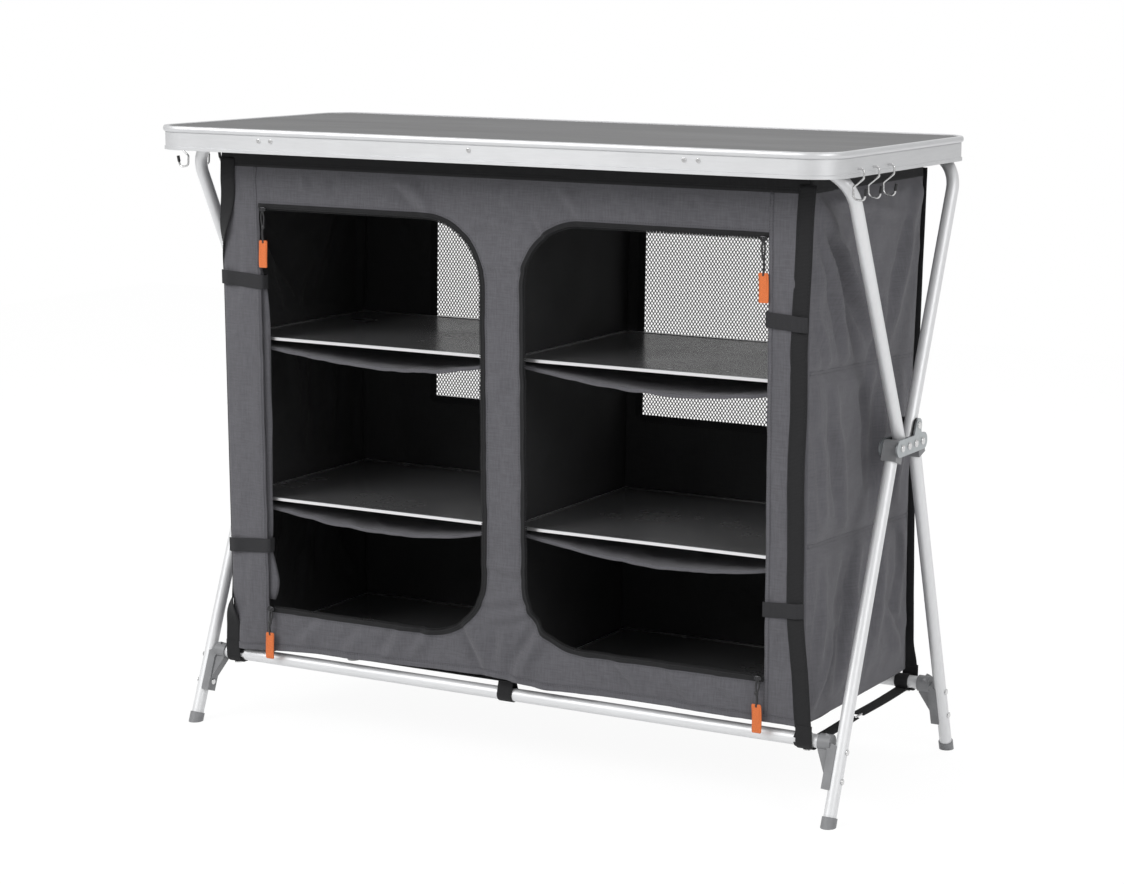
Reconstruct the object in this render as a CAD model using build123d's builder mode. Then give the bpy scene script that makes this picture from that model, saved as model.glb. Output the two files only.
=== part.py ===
from build123d import *
import math
import os

os.makedirs("parts", exist_ok=True)

# Camping cupboard, millimetres. X runs along the front, Y to the rear, Z up.
# The origin is on the floor, under the middle of the tabletop.

# Tabletop
tableLength = 1150
tableDepth = 500
tableHeight = 950
tableCornerRadius = 55
railHeight = 36
railWall = 2
railFaceInset = 3
railLipInset = 1.5
railLipHeight = 5.5
railBeadHeight = 8.5
railGroove = 1.5
railCoverWidth = 9
railTopThickness = 1.5
railLedgeWidth = 9
railFootWidth = 5
panelThickness = 5
panelGap = 0.5
panelRebate = 0.3
braceX = 359
braceWidth = 36
centreBraceWidth = 26
braceThickness = 2
braceTabHeight = 18
braceFlange = 2.5
railRivetSpacing = 22
railRivetDrop = 17
railRivetRadius = 2
railRivetHeadRadius = 3.6
railRivetHead = 1.4
clipWidth = 20
clipWall = 2.8
clipReach = 7
clipBore = 0.1

# Hooks on the end rails
hookPitch = 51
hookMiddleY = -116
hookDrop = 25
hookWireRadius = 1.5
hookHoleClearance = 0.06
hookInnerEnd = 7
hookInnerGap = 2
hookOuterX = 6.5
hookFirstDrop = 13
hookBends = ((-9.5, 25.5), (-8.5, 41), (7.5, 43.5), (10.5, 27))
hookBendRadii = [2.6, 4.5, 4.5, 4, 6, 6]
hookSleeveRadius = 2.3
hookSleeveLength = 9

# Upper frames: two tubes bent into an inverted U
tubeRadius = 9.5
tubeWall = 1.2
legX = 559
bendRadius = 60
tubeEnd = 8
upperBarDrop = 24
frontBarY = -166
rearBarInset = 22

# Folding joint at each end: four pivots in a row and one fixing rivet above
jointHeight = 513
jointMiddleY = 41
pivotPitch = 24.6
fixingRise = 27.5
plateGap = 24.5
plateThickness = 2.5
plateRowRadius = 12.5
plateFrontReach = 7
plateRearReach = 5
plateArmRadius = 10.5
plateInnerFillet = 5
linerRadius = 12.2
rivetRadius = 3
rivetHeadRadius = 5.6
rivetHead = 2.2
fitClearance = 0.05
blockRadius = 11.6
blockSideGap = 0.3
blockLength = 22
blockNeckHalfWidth = 10.8

# Lower frames: two legs, a crossbar and two moulded elbows
frontFootY = -200
rearFootY = 237
legTopReach = 6
crossbarHeight = 109.5
crossbarRadius = 10
crossbarInset = 22
elbowSocketRadius = 12.6
elbowSocketStart = 15
elbowSocketEnd = 34.5
elbowArmLength = 66
elbowArmDepth = 8
elbowArmHalfWidth = 9.5
elbowCornerStart = 24
elbowWrap = 4.5
elbowWrapTop = 3
elbowCrown = -7.6
elbowCrownRadius = 14
elbowOverlap = 1
elbowWebHalfWidth = 7
elbowWebDrop = 46
elbowRivetFirst = 10
elbowRivetSecond = 52
elbowRivetRadius = 2.5
elbowRivetHeadRadius = 4.6
elbowRivetHead = 1.8
footRadius = 11.3
footHeight = 14
footSole = 3

# Cloth body
clothHalfWidth = 502
clothThickness = 2.5
clothFrontY = -165
clothBackGap = 2
clothBackBottomY = 198
clothBottom = 130
clothDrop = 37
bandDrop = 15
dividerThickness = 2.5
doorInnerX = 38
doorOuterX = 437
doorBottom = 196
doorHead = 63
doorRadius = 95
tapeWidth = 7
tapeThickness = 2
windowInnerX = 24
windowOuterX = 370
windowBottom = 481
windowHead = 59
meshThickness = 0.8
tunnelWall = 1.4
tunnelHalfLength = 480
rollX = 437
rollWidth = 60
rollDepth = 9.5
rollGap = 0.2
rollEndGap = 10.5
strapHeight = 22
strapThickness = 1.5
strapUpperDrop = 115
strapLower = 296
strapTailX = 478
strapGap = 0.2
slingSag = 24
slingThickness = 1.5
slingGap = 1.5

# Boards
boardInnerX = 8
boardOuterX = 496
boardFrontY = -153
boardRearY = 193
boardThickness = 4.5
boardCore = 3
boardTrim = 6
boardTops = (624, 370, 137)

# Webbing
webbingWidth = 26
webbingThickness = 1.6
webbingTopX = 494
webbingBottomX = 502
webbingEnd = 132
barStrapX = 504
barStrapTop = 126
barStrapClearance = 0.1
barStrapWasherRadius = 6
barStrapWasher = 1.5
loopWidth = 26
floorStrapX = 498
floorStrapWidth = 22
floorStrapHookY = 23
floorStrapGap = 9
floorHookWire = 1.6
floorHookLap = 2.4
floorHookReach = 6.4

# Zip sliders and their pulls
sliderX = 431
sliderWidth = 12
sliderHeight = 7
sliderDepth = 4
sliderGap = 0.3
cordRadius = 1.2
tabWidth = 15
tabHeight = 42
tabThickness = 2
upperTabDrop = 50
lowerTabTop = 176

# Places worked out from the sizes above
pivotY = [jointMiddleY + (k - 1.5) * pivotPitch for k in range(4)]
upperBarHeight = tableHeight - upperBarDrop
rearBarY = tableDepth / 2 - rearBarInset
clothTop = upperBarHeight - clothDrop
bandTop = upperBarHeight - bandDrop
clothBackTopY = rearBarY - clothBackGap
doorTop = clothTop - doorHead
windowTop = clothTop - windowHead
strapUpper = doorTop - strapUpperDrop
upperTabTop = doorTop - upperTabDrop
railBottom = tableHeight - railHeight
panelTop = tableHeight - railTopThickness
panelBottom = panelTop - panelThickness
railInside = railFaceInset + railWall
railGrip = railWall + braceThickness
railRivetY = tableDepth / 2 - railFaceInset - railGrip / 2
railRivetShifts = (-railRivetSpacing / 2, railRivetSpacing / 2)
railRivetX = [side * (braceX + shift) for side in (-1, 1) for shift in railRivetShifts] + [0]
hookHeight = tableHeight - hookDrop
barStrapOuter = crossbarRadius + barStrapClearance + 2 * webbingThickness
clothFaceY = clothFrontY - clothThickness
backSlope = (clothBackTopY - clothBackBottomY) / (clothTop - clothBottom)


def backY(height):
    """Y of the back panel's inner face at a height."""
    return clothBackBottomY + backSlope * (height - clothBottom)


def tiltedPlane(y, z, topY, topZ):
    """Plane through the X direction and the line from (y, z) up to (topY, topZ)."""
    return Plane(origin=(0, y, z), x_dir=(1, 0, 0), z_dir=(0, -(topZ - z), topY - y))


def sidePlane(x):
    """Plane across the X direction, its own axes along Y and Z."""
    return Plane(origin=(x, 0, 0), x_dir=(0, 1, 0), z_dir=(1, 0, 0))


def save(builder, name):
    builder.part.label = name
    export_step(builder.part, f"parts/{name}.step")


def placeAcross(x, y, z):
    """Location whose own Z axis points along +X."""
    return Location((x, y, z), (0, 90, 0))


def railRivetSpots():
    """Places of the rivets through the front and the rear rail, their own Z axis along Y."""
    height = tableHeight - railRivetDrop
    return [Location((x, end * railRivetY, height), (90, 0, 0)) for end in (-1, 1) for x in railRivetX]


# Rail round the tabletop: one profile carried round the rounded rectangle
with BuildPart() as tableRim:
    with BuildLine() as rimPath:
        with BuildSketch(Plane.XY.offset(tableHeight)) as rimOutline:
            RectangleRounded(tableLength, tableDepth, tableCornerRadius)
        add(rimOutline.sketch.wire())
    with BuildSketch(Plane(origin=(0, -tableDepth / 2, tableHeight), x_dir=(0, 1, 0), z_dir=(1, 0, 0))):
        with BuildLine():
            beadBottom = -railBeadHeight
            grooveBottom = beadBottom - railGroove
            lipTop = -railHeight + railLipHeight
            ledge = panelBottom - tableHeight
            beadArc = ThreePointArc((2, 0), (0, beadBottom / 2), (1.6, beadBottom))
            face = Polyline(
                beadArc @ 1, (railFaceInset + 1, beadBottom), (railFaceInset + 1, grooveBottom),
                (railFaceInset, grooveBottom), (railFaceInset, lipTop), (railLipInset, lipTop - 1),
                (railLipInset, -railHeight), (railInside + railFootWidth, -railHeight),
                (railInside + railFootWidth, -railHeight + railTopThickness),
                (railInside, -railHeight + railTopThickness), (railInside, ledge - railTopThickness),
                (railInside + railLedgeWidth, ledge - railTopThickness), (railInside + railLedgeWidth, ledge),
                (railInside, ledge), (railInside, panelTop - tableHeight),
                (railCoverWidth, panelTop - tableHeight), (railCoverWidth, -0.4), (railCoverWidth - 1, 0),
                beadArc @ 0,
            )
        make_face()
    sweep(path=rimPath.wire())
    for side in (-1, 1):
        endX = side * (tableLength / 2 - railInside)
        with Locations(*[placeAcross(endX, hookMiddleY + k * hookPitch, hookHeight) for k in (-1, 0, 1)]):
            Cylinder(hookWireRadius + hookHoleClearance, 4 * railInside, mode=Mode.SUBTRACT)
    with Locations(*railRivetSpots()):
        Cylinder(railRivetRadius + fitClearance, 2 * railGrip, mode=Mode.SUBTRACT)
save(tableRim, "table_rim")

with BuildPart() as tablePanel:
    for inset, bottom, top in ((railInside + panelGap, panelBottom, panelTop - panelRebate),
                               (railCoverWidth + panelGap, panelBottom, panelTop)):
        with BuildSketch(Plane.XY.offset(bottom)):
            RectangleRounded(tableLength - 2 * inset, tableDepth - 2 * inset, tableCornerRadius - inset)
        extrude(amount=top - bottom)
save(tablePanel, "table_panel")

# Braces under the panel, riveted to the front and rear rail
braceSpan = tableDepth - 2 * railInside
braceTop = panelBottom - railTopThickness


def brace(x, width):
    """Flat strip with a turned-down tab at each end and a low flange along each side."""
    with BuildPart() as strip:
        with BuildSketch(sidePlane(x - width / 2)):
            with BuildLine():
                Polyline(
                    (-braceSpan / 2, braceTop), (braceSpan / 2, braceTop),
                    (braceSpan / 2, braceTop - braceTabHeight),
                    (braceSpan / 2 - braceThickness, braceTop - braceTabHeight),
                    (braceSpan / 2 - braceThickness, braceTop - braceThickness),
                    (-braceSpan / 2 + braceThickness, braceTop - braceThickness),
                    (-braceSpan / 2 + braceThickness, braceTop - braceTabHeight),
                    (-braceSpan / 2, braceTop - braceTabHeight), close=True,
                )
            make_face()
        extrude(amount=width)
        for edge in (-1, 1):
            flangeX = x + edge * (width - braceThickness) / 2
            with Locations((flangeX, 0, braceTop - braceThickness - braceFlange / 2)):
                Box(braceThickness, braceSpan - 4 * braceThickness, braceFlange)
        for end in (-1, 1):
            rivetOffsets = (-railRivetSpacing / 2, railRivetSpacing / 2) if width == braceWidth else (0,)
            with Locations(*[Location((x + dx, end * braceSpan / 2, tableHeight - railRivetDrop), (90, 0, 0))
                             for dx in rivetOffsets]):
                Cylinder(railRivetRadius + fitClearance, 4 * braceThickness, mode=Mode.SUBTRACT)
    return strip.part


braceSizes = ((-braceX, braceWidth), (0, centreBraceWidth), (braceX, braceWidth))
braceParts = [brace(x, width) for x, width in braceSizes]
with BuildPart() as tableBraces:
    add(braceParts)
save(tableBraces, "table_braces")


def rivet(grip, shaft, head, headHeight, heads=2):
    """Rivet along Z, centred on its grip, with a domed head at one end or at both."""
    with BuildPart() as pin:
        Cylinder(shaft, grip)
        for end in (1, -1)[:heads]:
            with Locations((0, 0, end * (grip + headHeight) / 2)):
                Cylinder(head, headHeight)
            rim = pin.edges().filter_by(GeomType.CIRCLE).sort_by(Axis.Z)[-1 if end > 0 else 0]
            fillet(rim, headHeight * 0.7)
    return pin.part


# Snap clips under the outer braces, open downwards over both upper bars
def clip(x, y):
    with BuildPart() as saddle:
        with BuildSketch(sidePlane(x - clipWidth / 2)):
            clipBottom = upperBarHeight - clipReach
            clipTop = braceTop - braceThickness
            boreRadius = tubeRadius + clipBore
            with Locations((y, (clipTop + clipBottom) / 2)):
                Rectangle(2 * (boreRadius + clipWall), clipTop - clipBottom)
            with Locations((y, upperBarHeight)):
                Circle(boreRadius, mode=Mode.SUBTRACT)
            with Locations((y, upperBarHeight - clipReach)):
                Rectangle(2 * boreRadius, 2 * clipReach, mode=Mode.SUBTRACT)
        extrude(amount=clipWidth)
    return saddle.part


clipParts = [clip(x, y) for x in (-braceX, braceX) for y in (frontBarY, rearBarY)]
with BuildPart() as tableClips:
    add(clipParts)
save(tableClips, "table_clips")

railRivet = rivet(railGrip, railRivetRadius, railRivetHeadRadius, railRivetHead)
with BuildPart() as rimRivets:
    with Locations(*railRivetSpots()):
        add(railRivet)
save(rimRivets, "rim_rivets")


# Hooks of bent wire, hung through the end rails, each with a sleeve on its tip
def hook(side, y):
    def spot(x, drop):
        return (side * (tableLength / 2 + x), y, hookHeight - drop)

    with BuildPart() as bent:
        with BuildLine() as wire:
            innerX = -railInside - 2 * hookWireRadius - hookInnerGap
            FilletPolyline(
                spot(innerX, -hookInnerEnd), spot(innerX, 0), spot(hookOuterX, 0),
                spot(hookOuterX, hookFirstDrop), *[spot(x, drop) for x, drop in hookBends],
                radius=hookBendRadii,
            )
        with BuildSketch(Plane(origin=wire.line @ 0, z_dir=wire.line % 0)):
            Circle(hookWireRadius)
        sweep()
        tip = wire.line @ 1
        away = wire.line % 1
        with BuildSketch(Plane(origin=tip + away, z_dir=-away)):
            Circle(hookSleeveRadius)
        extrude(amount=hookSleeveLength)
    with BuildPart() as sleeve:
        with BuildSketch(Plane(origin=tip + away, z_dir=-away)):
            Circle(hookSleeveRadius)
        extrude(amount=hookSleeveLength)
        with BuildSketch(Plane(origin=tip, z_dir=-away)):
            Circle(hookWireRadius)
        extrude(amount=hookSleeveLength, mode=Mode.SUBTRACT)
    with BuildPart() as plain:
        add(bent.part)
        add(sleeve.part, mode=Mode.SUBTRACT)
    return plain.part, sleeve.part


hookNames = ("front", "middle", "rear")
for side, sideName in ((-1, "left"), (1, "right")):
    for k, place in enumerate(hookNames):
        wirePart, sleevePart = hook(side, hookMiddleY + (k - 1) * hookPitch)
        both = Compound(children=[wirePart, sleevePart])
        both.label = f"hook_{sideName}_{place}"
        export_step(both, f"parts/hook_{sideName}_{place}.step")


# Upper frames: a leg up from each joint, a bend, and the bar under the tabletop
def upperTube(pivot, barY):
    plane = tiltedPlane(pivot, jointHeight, barY, upperBarHeight)
    rise = math.hypot(barY - pivot, upperBarHeight - jointHeight)
    with BuildPart() as tube:
        with BuildLine(plane) as path:
            FilletPolyline((-legX, -tubeEnd), (-legX, rise), (legX, rise), (legX, -tubeEnd),
                           radius=bendRadius)
        with BuildSketch(Plane(origin=path.line @ 0, z_dir=path.line % 0)):
            Circle(tubeRadius)
            Circle(tubeRadius - tubeWall, mode=Mode.SUBTRACT)
        sweep()
        with Locations(*[placeAcross(side * legX, pivot, jointHeight) for side in (-1, 1)]):
            Cylinder(rivetRadius + fitClearance, 4 * tubeRadius, mode=Mode.SUBTRACT)
    return tube


fixingAngle = math.atan2(rearBarY - pivotY[2], upperBarHeight - jointHeight)
fixingY = pivotY[2] + fixingRise * math.sin(fixingAngle)
fixingZ = jointHeight + fixingRise * math.cos(fixingAngle)
frontUpper = upperTube(pivotY[1], frontBarY)
save(frontUpper, "front_upper_tube")
rearUpper = upperTube(pivotY[2], rearBarY)
with BuildPart() as rearUpperDrilled:
    add(rearUpper.part)
    with Locations(*[placeAcross(side * legX, fixingY, fixingZ) for side in (-1, 1)]):
        Cylinder(rivetRadius + fitClearance, 4 * tubeRadius, mode=Mode.SUBTRACT)
save(rearUpperDrilled, "rear_upper_tube")


# Joint plates: a rounded bar through four pivots, with an arm up the rear tube
def jointOutline(first, last, rowRadius, armRadius):
    """Sketch in Y and Z: a slot from first to last, and one along the rear upper tube."""
    with BuildSketch() as outline:
        with Locations(((first + last) / 2, jointHeight)):
            SlotCenterToCenter(last - first, 2 * rowRadius)
        armMiddle = ((pivotY[2] + fixingY) / 2, (jointHeight + fixingZ) / 2)
        with Locations(armMiddle):
            SlotCenterToCenter(fixingRise, 2 * armRadius, rotation=90 - math.degrees(fixingAngle))
        corners = [v for v in outline.vertices()
                   if abs(v.Y - jointHeight - rowRadius) < 0.01 and pivotY[1] + 5 < v.X < pivotY[3] - 2]
        fillet(corners, plateInnerFillet)
    return outline.sketch


plateOutline = jointOutline(pivotY[0] - plateFrontReach, pivotY[3] + plateRearReach,
                            plateRowRadius, plateArmRadius)
rivetPlaces = [(y, jointHeight) for y in pivotY] + [(fixingY, fixingZ)]


def jointSheet(x, outline, thickness, holes):
    with BuildPart() as sheet:
        with BuildSketch(sidePlane(x)):
            add(outline)
            with Locations(*holes):
                Circle(rivetRadius + fitClearance, mode=Mode.SUBTRACT)
        extrude(amount=thickness)
    return sheet.part


for side, sideName in ((-1, "left"), (1, "right")):
    starts = (side * legX - plateGap / 2 - plateThickness, side * legX + plateGap / 2)
    pair = [jointSheet(start, plateOutline, plateThickness, rivetPlaces) for start in starts]
    with BuildPart() as plates:
        add(pair)
    save(plates, f"joint_plates_{sideName}")

linerThickness = plateGap / 2 - tubeRadius - 2 * fitClearance
linerOutline = jointOutline(pivotY[1], pivotY[2], linerRadius, plateArmRadius)
linerStarts = [side * legX + offset for side in (-1, 1)
               for offset in (fitClearance - plateGap / 2, tubeRadius + fitClearance)]
linerParts = [jointSheet(start, linerOutline, linerThickness, rivetPlaces[1:3] + rivetPlaces[4:])
              for start in linerStarts]
with BuildPart() as liners:
    add(linerParts)
save(liners, "joint_liners")

jointRivet = rivet(plateGap + 2 * plateThickness, rivetRadius, rivetHeadRadius, rivetHead)
with BuildPart() as jointRivets:
    with Locations(*[placeAcross(side * legX, y, z) for side in (-1, 1) for y, z in rivetPlaces]):
        add(jointRivet)
save(jointRivets, "joint_rivets")


# Lower frames: legs, crossbar, elbows, feet, pivot blocks and rivets
def lowerFrame(name, pivot, footY):
    plane = tiltedPlane(footY, 0, pivot, jointHeight)
    reach = math.hypot(pivot - footY, jointHeight)
    upright = jointHeight / reach
    slant = abs(pivot - footY) / reach
    barRise = crossbarHeight / upright
    tubeStart = (footSole + tubeRadius * slant) / upright
    rivetRises = (barRise - elbowRivetFirst, barRise - elbowRivetSecond)
    fullGrip = 2 * tubeRadius + elbowArmDepth
    blindGrip = fullGrip - elbowRivetRadius
    for side, sideName in ((-1, "left"), (1, "right")):
        with BuildPart() as leg:
            legStart = plane.from_local_coords((side * legX, tubeStart, 0))
            with BuildSketch(Plane(origin=legStart, z_dir=plane.y_dir)):
                Circle(tubeRadius)
                Circle(tubeRadius - tubeWall, mode=Mode.SUBTRACT)
            extrude(amount=reach + legTopReach - tubeStart)
            with Locations(placeAcross(side * legX, pivot, jointHeight)):
                Cylinder(rivetRadius + fitClearance, 4 * tubeRadius, mode=Mode.SUBTRACT)
            spots = [plane.from_local_coords((side * legX, rise, 0)) for rise in rivetRises]
            with Locations(*[placeAcross(spot.X, spot.Y, spot.Z) for spot in spots]):
                Cylinder(elbowRivetRadius + fitClearance, 4 * tubeRadius, mode=Mode.SUBTRACT)
        save(leg, f"{name}_leg_{sideName}")

    barSpan = 2 * (legX - crossbarInset)
    with BuildPart() as bar:
        with Locations(placeAcross(0, plane.from_local_coords((0, barRise, 0)).Y, crossbarHeight)):
            Cylinder(crossbarRadius, barSpan)
            Cylinder(crossbarRadius - tubeWall, barSpan, mode=Mode.SUBTRACT)
    save(bar, f"{name}_crossbar")

    def elbow(side):
        def spot(inward, down):
            return (side * (legX - inward), barRise - down)

        with BuildPart() as body:
            with BuildSketch(plane):
                with BuildLine():
                    armIn = tubeRadius + elbowArmDepth
                    webOut = elbowSocketEnd - elbowOverlap
                    Polyline(
                        spot(elbowSocketStart, elbowCrown), spot(elbowSocketStart, 0),
                        spot(elbowWrap, elbowWrapTop), spot(elbowWrap, elbowArmLength),
                        spot(armIn, elbowArmLength),
                        spot(armIn, elbowSocketRadius), spot(elbowCornerStart, 0),
                        spot(elbowCornerStart, -elbowSocketRadius),
                    )
                    RadiusArc(spot(elbowCornerStart, -elbowSocketRadius),
                              spot(elbowSocketStart, elbowCrown), side * elbowCrownRadius)
                make_face()
            extrude(amount=elbowArmHalfWidth, both=True)
            with BuildSketch(plane):
                with BuildLine():
                    Polyline(
                        spot(armIn - elbowOverlap, 0), spot(webOut, 0), spot(webOut, elbowSocketRadius),
                        spot(armIn, elbowWebDrop), spot(armIn - elbowOverlap, elbowWebDrop), close=True,
                    )
                make_face()
            extrude(amount=elbowWebHalfWidth, both=True)
            socketX = legX - (elbowSocketStart + elbowSocketEnd) / 2
            middle = plane.from_local_coords((side * socketX, barRise, 0))
            with Locations(placeAcross(middle.X, middle.Y, middle.Z)):
                Cylinder(elbowSocketRadius, elbowSocketEnd - elbowSocketStart)
            bore = plane.from_local_coords((side * (legX - crossbarInset - elbowSocketEnd), barRise, 0))
            with Locations(placeAcross(bore.X, bore.Y, bore.Z)):
                Cylinder(crossbarRadius + fitClearance, 2 * elbowSocketEnd, mode=Mode.SUBTRACT)
            legSpot = plane.from_local_coords((side * legX, barRise, 0))
            with BuildSketch(Plane(origin=legSpot, z_dir=plane.y_dir)):
                Circle(tubeRadius + fitClearance)
            extrude(amount=2 * elbowArmLength, both=True, mode=Mode.SUBTRACT)
            for rise, grip in zip(rivetRises, (blindGrip, fullGrip)):
                spot = plane.from_local_coords((side * (legX + tubeRadius - grip / 2), rise, 0))
                with Locations(placeAcross(spot.X, spot.Y, spot.Z)):
                    Cylinder(elbowRivetRadius + fitClearance, grip, mode=Mode.SUBTRACT)
        return body.part

    elbowPair = [elbow(-1), elbow(1)]
    with BuildPart() as elbows:
        add(elbowPair)
    save(elbows, f"{name}_elbows")

    with BuildPart() as feet:
        for side in (-1, 1):
            footStart = plane.from_local_coords((side * legX, -footHeight, 0))
            with BuildSketch(Plane(origin=footStart, z_dir=plane.y_dir)):
                Circle(footRadius)
            extrude(amount=2 * footHeight)
            legStart = plane.from_local_coords((side * legX, tubeStart, 0))
            with BuildSketch(Plane(origin=legStart, z_dir=plane.y_dir)):
                Circle(tubeRadius + fitClearance)
            extrude(amount=2 * footHeight, mode=Mode.SUBTRACT)
        split(bisect_by=Plane.XY, keep=Keep.TOP)
    save(feet, f"{name}_feet")

    with BuildPart() as blocks:
        for side in (-1, 1):
            blockStart = plateGap / 2 - blockSideGap
            with BuildSketch(Plane(origin=(side * legX - blockStart, pivot, jointHeight),
                                   x_dir=plane.y_dir, z_dir=(1, 0, 0))):
                Circle(blockRadius)
                with Locations((-blockLength / 2, 0)):
                    Rectangle(blockLength, 2 * blockNeckHalfWidth)
            extrude(amount=2 * blockStart)
            legFoot = plane.from_local_coords((side * legX, 0, 0))
            with BuildSketch(Plane(origin=legFoot, z_dir=plane.y_dir)):
                Circle(tubeRadius + fitClearance)
            extrude(amount=reach + legTopReach, mode=Mode.SUBTRACT)
            with Locations(placeAcross(side * legX, pivot, jointHeight)):
                Cylinder(rivetRadius + fitClearance, 2 * plateGap, mode=Mode.SUBTRACT)
    save(blocks, f"{name}_leg_blocks")

    blindRivet = rivet(blindGrip, elbowRivetRadius, elbowRivetHeadRadius, elbowRivetHead, heads=1)
    fullRivet = rivet(fullGrip, elbowRivetRadius, elbowRivetHeadRadius, elbowRivetHead)
    with BuildPart() as rivets:
        for side in (-1, 1):
            for pin, grip, rise in zip((blindRivet, fullRivet), (blindGrip, fullGrip), rivetRises):
                spot = plane.from_local_coords((side * (legX + tubeRadius - grip / 2), rise, 0))
                with Locations(Location((spot.X, spot.Y, spot.Z), (0, side * 90, 0))):
                    add(pin)
        for side in (-1, 1):
            barY = plane.from_local_coords((0, barRise, 0)).Y
            with Locations((side * barStrapX, barY, crossbarHeight - barStrapOuter - barStrapWasher / 2)):
                Cylinder(barStrapWasherRadius, barStrapWasher)
    save(rivets, f"{name}_rivets")
    return plane.from_local_coords((0, barRise, 0)).Y


frontCrossbarY = lowerFrame("front", pivotY[0], frontFootY)
rearCrossbarY = lowerFrame("rear", pivotY[3], rearFootY)


# Cloth body: front and back
def doorShape(side, grow):
    """Outline of a door opening, in X and Z, made larger by grow on its three zipped sides."""
    with BuildSketch() as opening:
        with Locations((side * (doorInnerX - grow + doorOuterX) / 2, (doorTop + doorBottom) / 2)):
            Rectangle(doorOuterX - doorInnerX + grow, doorTop - doorBottom + 2 * grow)
        fillet([v for v in opening.vertices() if abs(v.X) < doorOuterX - 1], doorRadius + grow)
    return opening.sketch


doorShapes = [doorShape(side, 0) for side in (-1, 1)]
tapeShapes = [doorShape(side, tapeWidth) for side in (-1, 1)]
with BuildPart() as frontPanel:
    with BuildSketch(Plane.XZ.offset(-clothFrontY)):
        with Locations((0, (clothTop + clothBottom) / 2)):
            Rectangle(2 * clothHalfWidth, clothTop - clothBottom)
        add(doorShapes, mode=Mode.SUBTRACT)
    extrude(amount=clothThickness)
save(frontPanel, "front_panel")

# Zip tape round three sides of each opening
with BuildPart() as zipTapes:
    with BuildSketch(Plane.XZ.offset(-clothFaceY)):
        add(tapeShapes)
        add(doorShapes, mode=Mode.SUBTRACT)
    extrude(amount=tapeThickness)
save(zipTapes, "zip_tapes")

backPlane = tiltedPlane(clothBackBottomY, clothBottom, clothBackTopY, clothTop)
backStretch = math.hypot(1, backSlope)
windowRise = ((windowTop + windowBottom) / 2 - clothBottom) * backStretch
windowSize = (windowOuterX - windowInnerX, (windowTop - windowBottom) * backStretch)
windowSpots = [(side * (windowInnerX + windowOuterX) / 2, windowRise) for side in (-1, 1)]
backHeight = (clothTop - clothBottom) * backStretch
with BuildPart() as backPanel:
    with BuildSketch(backPlane):
        with Locations((0, backHeight / 2)):
            Rectangle(2 * clothHalfWidth, backHeight)
        with Locations(*windowSpots):
            Rectangle(*windowSize, mode=Mode.SUBTRACT)
    extrude(amount=-clothThickness)
save(backPanel, "back_panel")

with BuildPart() as meshWindows:
    with BuildSketch(backPlane.offset(-(clothThickness - meshThickness) / 2)):
        with Locations(*windowSpots):
            Rectangle(*windowSize)
    extrude(amount=-meshThickness)
save(meshWindows, "mesh_windows")


# Side panels and the divider between the two bays
def uprightPanel(x, thickness):
    with BuildPart() as panel:
        with BuildSketch(sidePlane(x)):
            with BuildLine():
                Polyline((clothFrontY, clothBottom), (clothFrontY, clothTop), (clothBackTopY, clothTop),
                         (clothBackBottomY, clothBottom), close=True)
            make_face()
        extrude(amount=thickness)
    return panel


save(uprightPanel(-clothHalfWidth, clothThickness), "side_panel_left")
save(uprightPanel(clothHalfWidth - clothThickness, clothThickness), "side_panel_right")

floorInner = clothHalfWidth - clothThickness
baySpan = floorInner - dividerThickness / 2
with BuildPart() as floorCloth:
    with BuildSketch(Plane.XY.offset(clothBottom)):
        with Locations((0, (clothFrontY + clothBackBottomY) / 2)):
            Rectangle(2 * floorInner, clothBackBottomY - clothFrontY)
    extrude(amount=clothThickness)
save(floorCloth, "floor_cloth")

floorTop = clothBottom + clothThickness
with BuildPart() as divider:
    with BuildSketch(sidePlane(-dividerThickness / 2)):
        with BuildLine():
            Polyline((clothFrontY, floorTop), (clothFrontY, clothTop), (backY(clothTop), clothTop),
                     (backY(floorTop), floorTop), close=True)
        make_face()
    extrude(amount=dividerThickness)
save(divider, "centre_divider")

# Shelf cloths hang in an arc under the upper and the lower boards
with BuildPart() as shelfCloths:
    for top in boardTops[:2]:
        hang = top - boardThickness - slingGap
        for side in (-1, 1):
            near = side * dividerThickness / 2
            far = side * floorInner
            middle = (near + far) / 2
            with BuildSketch(Plane.XZ.offset(-boardFrontY)):
                with BuildLine():
                    upper = ThreePointArc((near, hang), (middle, hang - slingSag), (far, hang))
                    drop = Line(upper @ 1, (far, hang - slingThickness))
                    lower = ThreePointArc(drop @ 1, (middle, hang - slingSag - slingThickness),
                                          (near, hang - slingThickness))
                    Line(lower @ 1, upper @ 0)
                make_face()
            extrude(amount=-(boardRearY - boardFrontY))
save(shelfCloths, "shelf_cloths")

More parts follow.
